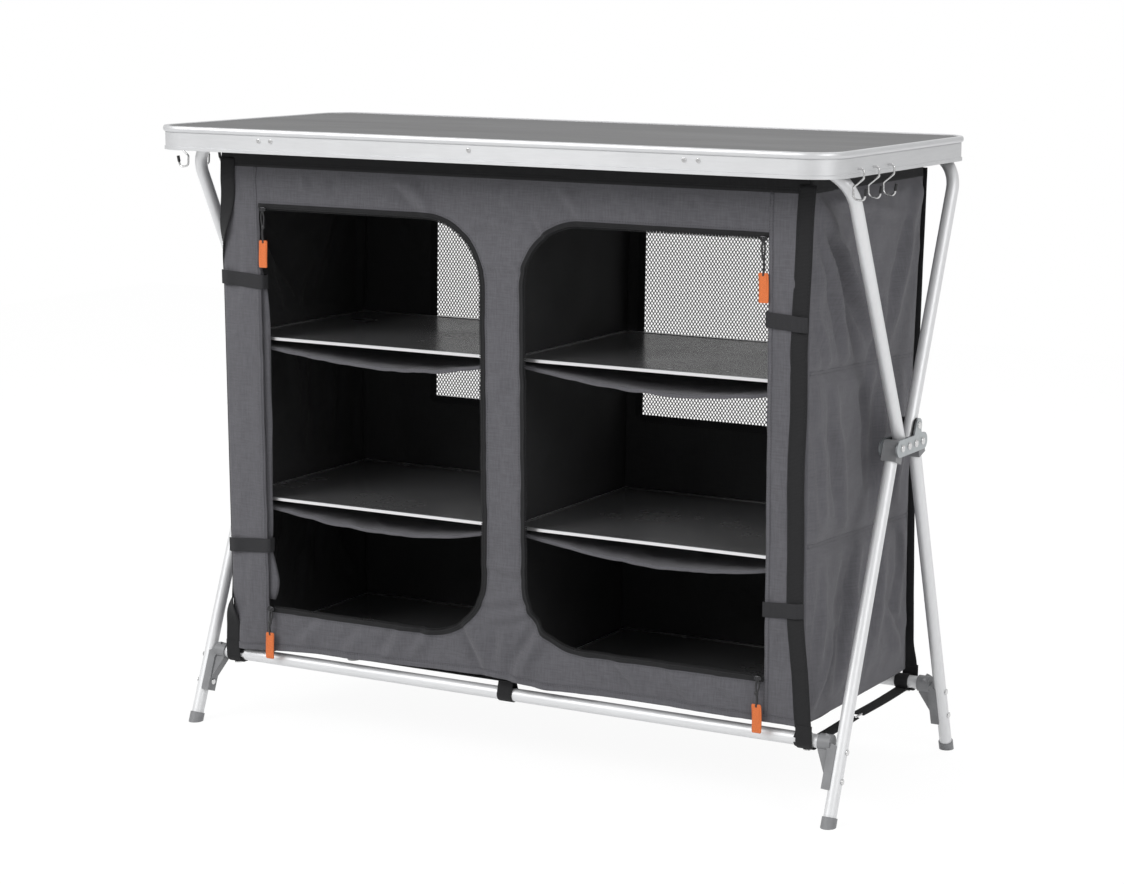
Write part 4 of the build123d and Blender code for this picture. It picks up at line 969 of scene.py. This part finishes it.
def makeBackPanel():
    shape = backPanel
    (nearX, farX), (lowZ, highZ) = shape["windowX"], shape["windowZ"]
    columns = keyLines([-shape["halfWidth"], -farX, -nearX, nearX, farX, shape["halfWidth"]], shape["pitch"])
    rows = keyLines([shape["bottom"], lowZ, highZ, shape["top"]], shape["pitch"])
    z, x = gridOf(rows, columns)
    middleX, middleZ = np.abs((x[:-1, :-1] + x[1:, 1:]) / 2), (z[:-1, :-1] + z[1:, 1:]) / 2
    keep = ~((middleX > nearX) & (middleX < farX) & (middleZ > lowZ) & (middleZ < highZ))
    points = together(x, backSurface(x, z), z)
    panel = makePiece("back_cloth", [gridPatch(points, together(x, z), keep, flip=True)],
                      [greyCloth, blackLining], ["back_panel"], thickness=shape["thickness"])

    # binding sewn round each window, outside and inside
    bindings, threads = [], []
    corners = ((nearX, lowZ), (farX, lowZ), (farX, highZ), (nearX, highZ), (nearX, lowZ))
    for side in (-1, 1):
        for depth, out in shape["bindingPlace"]:
            for (x0, z0), (x1, z1) in zip(corners[:-1], corners[1:]):
                x, z = np.linspace(x0, x1, 50) * side, np.linspace(z0, z1, 50)
                path = together(x, backSurface(x, z) + depth, z)
                across = np.array((0.0, 0.0, 1.0) if z0 == z1 else (1.0, 0.0, 0.0))
                bindings.append(sweep(path, across, (0, out, 0), flatProfile(*shape["binding"], 4)))
                for shift in shape["threads"]:
                    threads.append(stitches(path + across * shift + (0, out * 0.0005, 0), (0, out, 0)))
    makePiece("window_binding", bindings, [blackWebbing], closed=True)
    makeThreads("window_stitches", threads)


# Net in the windows: two families of crossing threads
net = {"pitch": 0.0047, "thread": 0.00128, "thickness": 0.0005, "lean": 0.62,
       "behind": 0.0009, "apart": 0.00022}


def makeNet():
    (nearX, farX), (lowZ, highZ) = backPanel["windowX"], backPanel["windowZ"]
    middle = np.array([(nearX + farX) / 2, (lowZ + highZ) / 2])
    half = np.array([(farX - nearX) / 2, (highZ - lowZ) / 2])
    patches = []
    for lean in (-1, 1):
        angle = lean * (math.pi / 2 - net["lean"])
        along = np.array([math.cos(angle), math.sin(angle)])
        across = np.array([-along[1], along[0]])
        reach = np.abs(half @ np.abs(across))
        for place in np.arange(-reach, reach, net["pitch"]):
            start = across * place
            limits = [sorted(((-h - s) / a, (h - s) / a)) for h, s, a in zip(half, start, along)]
            low, high = max(limits[0][0], limits[1][0]), min(limits[0][1], limits[1][1])
            if high - low < 2 * net["pitch"]:
                continue
            run = np.linspace(low, high, max(4, int((high - low) / 0.020)))
            spots = middle + start + run[:, None] * along
            rim = np.stack([spots - across * net["thread"] / 2, spots + across * net["thread"] / 2], axis=1)
            for side in (-1, 1):
                x, z = side * rim[..., 0], rim[..., 1]
                y = backSurface(x, z) - net["behind"] + lean * net["apart"]
                patches.append(gridPatch(together(x, y, z), rim, flip=(side * lean > 0)))
    makePiece("window_net", patches, [netThread], ["mesh_windows"], thickness=net["thickness"])


makeFrontPanel()
makeZipTapes()
makeFrontSeams()
makeSidePanel(-1, 11)
makeSidePanel(1, 21)
makeBackPanel()
makeNet()
print("cloth panels, windows and zips made")


# Lining between the bays, floor cloth and the slings under the boards
inside = {"frontY": -0.1648, "floorZ": 0.1322, "top": 0.890, "thickness": 0.0010, "halfSpan": 0.5008,
          "dividerFlat": (0.377, 0.758), "floorFlat": (1.0016, 0.364),
          "slings": ((0.624, 0.0265), (0.370, 0.0275)),  # height of a board's top, sag of the sling under it
          "boardThickness": 0.0045, "slingGap": 0.0018, "slingFront": -0.1515, "slingRear": 0.1925,
          "slingHem": (0.0055, 0.0016), "hemAhead": 0.0008, "hemUnder": 0.0012}


def makeInside():
    shape = inside
    v, u = gridOf(np.linspace(0, 1, 110), np.linspace(0, 1, 56))
    z = shape["floorZ"] + (shape["top"] - shape["floorZ"]) * v
    y = shape["frontY"] + (backLine(z) - 0.0006 - shape["frontY"]) * u
    pinned = np.sin(math.pi * u) ** 0.5 * np.sin(math.pi * np.clip(v, 0.02, 0.98)) ** 0.3
    x = rumple(y, z, 41, 0.12, 0.0016) * pinned + shape["thickness"] / 2
    divider = makePiece("divider_cloth", [gridPatch(together(x, y, z), together(y, z))],
                        [blackLining], ["centre_divider"], thickness=shape["thickness"])

    y, x = gridOf(np.linspace(shape["frontY"] - 0.001, backLine(shape["floorZ"]), 60),
                  np.linspace(-shape["halfSpan"], shape["halfSpan"], 150))
    edge = easeStep(y, shape["frontY"], -0.14) * (1 - easeStep(y, 0.175, 0.198))
    z = shape["floorZ"] - 0.0004 - np.abs(rumple(x, y, 51, 0.10, 0.0012)) * edge
    floorSheet = makePiece("floor_sheet", [gridPatch(together(x, y, z), together(x, y))],
                           [blackLining, greyCloth], ["floor_cloth"], thickness=shape["thickness"])

    patches, hems = [], []
    for level, (top, sag) in enumerate(shape["slings"]):
        hang = top - shape["boardThickness"] - shape["slingGap"]
        for side in (-1, 1):
            y, t = gridOf(np.linspace(shape["slingFront"], shape["slingRear"], 56), np.linspace(0, 1, 90))
            # the arc's lowest point is nearer the divider at the front edge; ripples run off from there
            lean = t + 0.10 * np.sin(math.pi * t) * (1 - easeStep(y, -0.15, 0.10)) * (1 if side < 0 else -0.6)
            arc = np.sin(math.pi * np.clip(lean, 0, 1)) ** 0.85
            ripple = rumple(t * 0.5, y, 61 + 3 * level + side, 0.085, 0.0020) * np.sin(math.pi * t)
            z = hang - sag * arc * (1 - 0.22 * easeStep(y, -0.05, 0.19)) - np.abs(ripple)
            x = side * (0.0016 + (shape["halfSpan"] - 0.0020) * t)
            patches.append(gridPatch(together(x, y, z), together(x, y), flip=side > 0))
            lip = together(x[0], shape["slingFront"] + shape["hemAhead"], z[0] - shape["hemUnder"])
            hems.append(sweep(lip, (0, 0, 1), (0, -1, 0), flatProfile(*shape["slingHem"], 4)))
    slings = makePiece("shelf_slings", patches, [greyCloth], ["shelf_cloths"],
                       thickness=shape["thickness"])
    makePiece("sling_hems", hems, [greyCloth], closed=True)


# Black band round the top, with hems that the upper bars run through
topBand = {
    "low": 0.8875, "high": 0.9135, "halfWidth": 0.5032, "frontY": -0.1682, "rearY": 0.2292,
    "thickness": 0.0011, "corner": 0.006, "step": 0.006, "threads": (0.003, 0.0065),
    "bars": ((-0.166, -1), (0.228, 1)), "barHeight": 0.926, "barRadius": 0.0095, "wall": 0.0012,
    "spans": ((-0.480, -0.3735), (-0.3445, 0.3445), (0.3735, 0.480)),
}


def makeTopBand():
    shape = topBand
    low, high, corner = shape["low"], shape["high"], shape["corner"]
    # the band: a rectangle in plan with small round corners, its face rippled a little
    right, front, rear = shape["halfWidth"] - corner, shape["frontY"] + corner, shape["rearY"] - corner
    turn = np.linspace(0, math.pi / 2, 6)
    arcs = []
    for k, (cx, cy) in enumerate(((right, front), (right, rear), (-right, rear), (-right, front))):
        angle = turn + (k - 1) * math.pi / 2
        arcs.append(together(cx + corner * np.cos(angle), cy + corner * np.sin(angle)))
    sides = []
    for arc, (following, *_) in zip(arcs, arcs[1:] + arcs[:1]):
        run = np.linspace(0, 1, int(np.linalg.norm(following - arc[-1]) / shape["step"]))[1:-1, None]
        sides += [arc, arc[-1] + (following - arc[-1]) * run]
    plan = np.concatenate(sides + [arcs[0][:1]])
    way = np.gradient(plan, axis=0)
    way = together(way[:, 1], -way[:, 0]) / np.linalg.norm(way, axis=1, keepdims=True)
    way[-1] = way[0]
    length = runLength(plan)
    z, run = gridOf(np.linspace(low, high, 7), length)
    out = np.abs(rumple(run, z * 2, 71, 0.045, 0.0005)) * (1 - easeStep(run, length[-1] - 0.02, length[-1]))
    out = out * easeStep(run, 0.0, 0.02)
    points = np.concatenate([plan[None] + way[None] * out[..., None], z[..., None]], axis=-1)
    patches = [gridPatch(points, together(z, run))]
    # hems: up from the band, round the bar and down again inside
    radius = shape["barRadius"] + shape["wall"]
    turns = np.linspace(-0.35, math.pi + 0.5, 22)
    profileZ = [high - 0.004, high, *(shape["barHeight"] + radius * np.sin(turns)), high - 0.002]
    for barY, side in shape["bars"]:
        face = shape["frontY"] if side < 0 else shape["rearY"]
        profileY = [face, face, *(barY + side * radius * np.cos(turns)), barY - side * 0.0005]
        for first, last in shape["spans"]:
            z, x = gridOf(profileZ, np.linspace(first, last, max(8, int((last - first) / shape["step"]))))
            slack = np.abs(rumple(x, z * 2, 81, 0.03, 0.0006))
            slack = slack * easeStep(shape["barHeight"] + 0.002 - z, 0.0, 0.010)
            points = together(x, np.array(profileY)[:, None] + side * slack, z)
            patches.append(gridPatch(points, together(z, x), flip=side > 0))
    makePiece("top_band_cloth", patches, [blackWebbing], ["top_band"],
              thickness=shape["thickness"])
    out = together(way[:, 0], way[:, 1], 0.0)
    makeThreads("top_band_stitches", [stitches(together(plan[:, 0], plan[:, 1], low + up) + out * 0.0007, out)
                                      for up in shape["threads"]])


# Doors rolled up behind the strips, and the straps that hold them
doorRoll = {
    "depth": 0.0047, "y": -0.1601, "low": 0.2070, "high": 0.8150, "straps": (0.711, 0.296),
    "outer": (0.4660, 0.4760), "taper": 0.010, "uvStep": 0.022,
    "edges": (  # height, distance of the inner edge from the middle
        ((0.207, 0.4245), (0.235, 0.4185), (0.262, 0.4235), (0.296, 0.4320), (0.330, 0.4280), (0.500, 0.4245),
         (0.670, 0.4245), (0.711, 0.4310), (0.745, 0.4400), (0.815, 0.4440)),
        ((0.207, 0.4450), (0.240, 0.4430), (0.296, 0.4450), (0.711, 0.4450), (0.815, 0.4450)),
    ),
}
rollStrap = {"width": 0.022, "thickness": 0.0014, "innerX": (0.4262, 0.4375), "tailX": 0.5030,
             "backX": 0.4700, "backY": -0.1544, "clear": (0.0026, 0.0020, 0.0012), "threads": (-0.008, 0.008)}


def makeRolls():
    shape = doorRoll
    low, high, taper = shape["low"], shape["high"], shape["taper"]
    for k, (side, seed) in enumerate(((-1, 91), (1, 95))):
        z, t = gridOf(np.linspace(low, high, 120), np.linspace(0, 2 * math.pi, 49))
        heights, places = curveThrough(shape["edges"][k], 200).T
        edge = np.interp(z, heights, places) + rumple(z, t * 0.002, seed, 0.12, 0.0006)
        middle, half = (shape["outer"][k] + edge) / 2, (shape["outer"][k] - edge) / 2
        ends = np.minimum(easeStep(z, low, low + taper), 1 - easeStep(z, high - taper, high))
        # flattened scroll: the layers show as steps along the rounded edge
        layers = 0.0010 * np.cos(4 * t) + 0.0006 * np.cos(9 * t + 3 * np.sin(z * 19))
        across = np.sign(np.cos(t)) * np.abs(np.cos(t)) ** 0.75 * (half + layers) * (0.93 + 0.07 * ends)
        x = side * (middle - across)
        y = shape["y"] + shape["depth"] * np.sign(np.sin(t)) * np.abs(np.sin(t)) ** 0.7 * (0.6 + 0.4 * ends)
        tube = closedTube(together(x, y, z), together(t * shape["uvStep"], z))
        name = "left" if side < 0 else "right"
        roll = makePiece(f"rolled_door_{name}", [tube], [greyCloth],
                         [f"door_roll_{name}"], closed=True)


def makeRollStraps():
    shape = rollStrap
    patches, threads = [], []
    back, front = shape["backY"], frontPanel["faceY"]
    half = shape["width"] / 2
    for side, innerX in zip((-1, 1), shape["innerX"]):
        for k, height in enumerate(doorRoll["straps"]):
            # in front of the cloth: clear of its foremost point over the strap's width
            spots = np.array([0.474, innerX + 0.022, innerX + 0.002])
            levels = height + np.linspace(-half, half, 5)
            faces = frontSurface(*np.meshgrid(side * spots, levels)).min(axis=0) - shape["clear"]
            points = [(shape["tailX"], front - 0.0042), (0.490, min(front - 0.0020, faces[0]) - 0.0026),
                      *zip(spots, faces),
                      (innerX - 0.001, front + 0.0040), (innerX, back - 0.0045), (innerX + 0.006, back),
                      (0.450, back), (0.462, back), (shape["backX"], back - 0.004),
                      (shape["backX"] + 0.001, front + 0.004)]
            plan = curveThrough([(side * x, y) for x, y in points], 90)
            lean = 0.006 * (plan[:, 0] * side - innerX) / 0.09 * (1 if k else -1) * side
            path = together(plan[:, 0], plan[:, 1], height + lean)
            patches.append(band(path, (0, 0, side), shape["width"], shape["thickness"]))
            for lift in shape["threads"]:
                line = together(side * np.linspace(0.478, 0.498, 8), front - 0.0053, height + lift)
                threads.append(stitches(line, (0, -1, 0), pitch=0.003, length=0.0022))
    makePiece("roll_strap_loops", patches, [strapWebbing], ["door_roll_straps"], closed=True)
    makeThreads("roll_strap_stitches", threads)


# Webbing down the corners and the ends that wrap the lower bars
cornerWebbing = {
    "width": 0.0265, "thickness": 0.0016, "top": 0.900, "end": 0.1290, "threads": (-0.0105, 0.0105),
    # height and x of points along each one
    "right": ((0.128, 0.5035), (0.181, 0.4985), (0.275, 0.4905), (0.401, 0.4875), (0.501, 0.4880),
              (0.687, 0.4905), (0.797, 0.4935), (0.900, 0.5000)),
    "left": ((0.128, -0.5035), (0.190, -0.4990), (0.300, -0.4950), (0.720, -0.4920), (0.900, -0.4885)),
    "turned": (0.155, 0.235, 0.700, 0.850),  # heights between which the left one turns to the side and back
    "besideX": -0.5048, "besideY": -0.1520, "turnClear": 0.0050,
    "frontClear": 0.0012, "rearClear": 0.0018, "ripple": 0.0006, "sway": 0.0008,
    "rearX": ((0.128, 0.5020), (0.900, 0.4945)), "leaveCloth": 0.178, "barFaceY": 0.2156,
}
barStrap = {"x": 0.504, "frontY": -0.15640, "rearY": 0.20305, "height": 0.1095, "radius": 0.0126,
            "top": 0.1335, "straightTo": 0.124, "width": 0.0262, "thickness": 0.0016,
            "loopX": 0.002, "loopWidth": 0.026, "loopRadius": 0.0108, "loopTop": 0.1355}
floorStrap = {"x": 0.498, "width": 0.022, "thickness": 0.0016, "hookY": 0.023, "gap": 0.009, "keep": 0.06,
              "loopRadius": 0.0109, "sag": 0.0012, "wire": 0.0016, "wireBend": 0.0026}


def makeCornerWebbing():
    shape = cornerWebbing
    patches, threads = [], []
    z = np.linspace(shape["end"], shape["top"], 130)

    def addRun(x, y, across, out):
        # webbing along x, y, z, with a row of stitches near both of its edges
        path = together(x, y, z)
        patches.append(band(path, across, shape["width"], shape["thickness"]))
        for shift in shape["threads"]:
            threads.append(stitches(path + shift * across + 0.0010 * out, out))

    for side, spots in ((1, shape["right"]), (-1, shape["left"])):
        heights, places = curveThrough(spots, 130).T
        x = np.interp(z, heights, places) + shape["sway"] * np.sin(z * 33 + side)
        y = frontSurface(x, z) - shape["frontClear"] - shape["ripple"] * np.abs(np.sin(z * 27))
        turn = 0 * z
        if side < 0:
            up, upEnd, back, backEnd = shape["turned"]
            turn = math.pi / 2 * easeStep(z, up, upEnd) * (1 - easeStep(z, back, backEnd))
            share = np.sin(turn) ** 2
            clear = shape["turnClear"] * np.sin(2 * turn)
            x = x + (shape["besideX"] - x) * share - clear
            y = y + (shape["besideY"] - y) * share - clear
        addRun(x, y, together(np.cos(turn), -np.sin(turn), 0.0), together(-np.sin(turn), -np.cos(turn), 0.0))
    heights, places = np.array(shape["rearX"]).T
    reach = 0.45 * shape["width"]
    for side in (-1, 1):
        # flat on the back cloth's edge, and leaning out at the bottom to the end that wraps the bar
        x = side * np.interp(z, heights, places)
        low, high = backSurface(x - reach, z), backSurface(x + reach, z)
        slope = (high - low) / (2 * reach)
        hang = 1 - easeStep(z, shape["end"], shape["leaveCloth"])
        y = np.maximum((low + high) / 2, backSurface(x, z)) + shape["rearClear"]
        y = y + shape["ripple"] * np.abs(np.sin(z * 25))
        y = y + (shape["barFaceY"] - y) * hang
        across = together(-1.0, -slope * (1 - hang), 0.0)
        across = across / np.linalg.norm(across, axis=1, keepdims=True)
        addRun(x, y, across, together(across[:, 1], -across[:, 0], 0.0))
    makePiece("corner_webbing_runs", patches, [blackWebbing], ["corner_webbing"], closed=True)
    makeThreads("corner_webbing_stitches", threads)


def makeBarStraps():
    shape = barStrap
    for end, barY, out in (("front", shape["frontY"], -1), ("rear", shape["rearY"], 1)):
        patches = []
        turns = np.linspace(math.radians(8), math.radians(-118), 16)
        arc = together(barY + out * shape["radius"] * np.cos(turns),
                       shape["height"] + shape["radius"] * np.sin(turns))
        face = barY + out * (shape["radius"] + 0.0004)
        plan = curveThrough([(face, shape["top"]), (face, shape["straightTo"]), *arc], 60)
        for side in (-1, 1):
            path = together(side * shape["x"], plan[:, 0], plan[:, 1])
            patches.append(band(path, (-out, 0, 0), shape["width"], shape["thickness"]))
        if end == "front":
            radius = shape["loopRadius"]
            turns = np.linspace(math.radians(-20), math.radians(200), 26)
            arc = together(barY - radius * np.cos(turns), shape["height"] - radius * np.sin(turns))
            plan = curveThrough([(barY - radius * 0.35, shape["loopTop"]), *arc,
                                 (barY + radius * 0.15, shape["loopTop"])], 80)
            path = together(shape["loopX"], plan[:, 0], plan[:, 1])
            patches.append(band(path, (1, 0, 0), shape["loopWidth"], shape["thickness"]))
        makePiece(f"{end}_bar_webbing", patches, [blackWebbing], [f"{end}_bar_straps"],
                  f"lower_{end}_frame", closed=True)


def makeFloorStraps():
    shape = floorStrap
    radius = shape["loopRadius"]
    level = barStrap["height"] - radius

    def foldAway(piece):
        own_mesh(piece)

    for end, barY, inwards in (("front", barStrap["frontY"], 1), ("rear", barStrap["rearY"], -1)):
        patches = []
        turns = np.linspace(math.radians(-250), math.radians(70), 40)
        y = np.linspace(barY, shape["hookY"] - inwards * shape["gap"], 60)
        sag = shape["sag"] * np.sin(math.pi * np.linspace(0, 1, 60))
        for side in (-1, 1):
            path = together(side * shape["x"], barY - inwards * radius * np.sin(turns),
                            barStrap["height"] + radius * np.cos(turns))
            patches.append(band(path, (1, 0, 0), shape["width"], shape["thickness"]))
            path = together(side * shape["x"], y, level - sag)
            patches.append(band(path, (inwards, 0, 0), shape["width"], shape["thickness"]))
        foldAway(makePiece(f"{end}_floor_strap", patches, [blackWebbing],
                           [f"floor_strap_{end}"], f"lower_{end}_frame", closed=True))
    patches = []
    half, bend = shape["width"] / 2 - 0.0032, shape["wireBend"]
    near, far = shape["hookY"] + shape["gap"] - 0.0024, shape["hookY"] - shape["gap"] - 0.0064
    plan = ((-half, near), (-half, far + 0.002), (-half + bend, far), (half - bend, far), (half, far + 0.002),
            (half, near))
    for side in (-1, 1):
        route = curveThrough([(side * shape["x"] + x, y, level + 0.0024) for x, y in plan], 50)
        patches.append(rope(route, shape["wire"], reference=(0, 0, 1)))
    foldAway(makePiece("floor_strap_links", patches, [brightSteel], ["floor_strap_hooks"],
                       "lower_front_frame", closed=True))


# Zip sliders with their cords and pull tabs
zipPull = {
    "x": (-0.4220, 0.4340), "y": -0.1728, "lean": 0.0012,
    "levels": (("upper", 0.8240, 0.776, 0.0), ("lower", 0.1960, 0.158, 0.0080)),  # slider, tab's top, way out
    "slider": (0.0062, 0.0019, 0.0037), "bridge": (0.0026, 0.0016, 0.0024), "knot": (0.0034, 0.0019, 0.0034),
    "tabWidth": 0.0155, "tabHeight": 0.042, "tabThickness": 0.0021, "tabRound": 0.0035, "cord": 0.0015,
    "rims": (-0.0058, 0.0058), "rimTop": 0.003, "rimLow": 0.039,
}


def makeZipPull(side, x, level, height, tabTop, out):
    shape = zipPull
    y, tabY, lean = shape["y"] - out * 0.5, shape["y"] - out, shape["lean"] * side
    patches = [blob((x, y, height), shape["slider"], 3.5),
               blob((x, y - 0.0012, height - 0.0008), shape["bridge"], 3.0)]
    knot = tabTop + (height - tabTop) * 0.42
    for way in (-1, 1):
        route = curveThrough([(x + way * 0.0006, y - 0.0006, height - 0.0014),
                              (x + way * 0.0026, y - 0.0004, (height + knot) / 2),
                              (x + way * 0.0008, tabY, knot)], 26)
        patches.append(rope(route, shape["cord"], slot=1))
    route = curveThrough([(x, tabY, knot), (x + lean, tabY, (knot + tabTop) / 2),
                          (x, tabY, tabTop - 0.004)], 22)
    patches.append(rope(route, shape["cord"] * 1.25, slot=1))
    patches.append(blob((x, tabY, knot), shape["knot"], 2.2, slot=1))
    run = np.linspace(0, 1, 40)
    path = together(x + lean * np.sin(run * 2.2), tabY + 0.0003 * np.sin(run * 5),
                    tabTop - shape["tabHeight"] * run)
    # both ends of the tab narrow in a quarter circle
    gap = np.minimum(np.minimum(run, 1 - run) * shape["tabHeight"] / shape["tabRound"], 1)
    width = 1 - 0.16 * (1 - np.sqrt(np.clip(1 - (1 - gap) ** 2, 0, 1)))
    patches.append(sweep(path, (1, 0, 0), (0, -1, 0), flatProfile(shape["tabWidth"], shape["tabThickness"]),
                         slot=2, size=width))
    for rim in shape["rims"]:
        line = together(x + rim, tabY - 0.0011, tabTop - np.array([shape["rimTop"], shape["rimLow"]]))
        patches.append(stitches(line, (0, -1, 0), pitch=0.0026, length=0.0019, slot=2))
    name = f"{level}_left" if side < 0 else f"{level}_right"
    makePiece(f"zip_pull_{name}", patches, [sliderMetal, blackPlastic, orangeTape],
              [f"zip_slider_{name}"], f"zip_slider_{name}", closed=True)


makeInside()
makeTopBand()
makeRolls()
makeRollStraps()
makeCornerWebbing()
makeBarStraps()
makeFloorStraps()
for side, place in zip((-1, 1), zipPull["x"]):
    for level in zipPull["levels"]:
        makeZipPull(side, place, *level)
print("linings, band, rolls, webbing and pulls made")
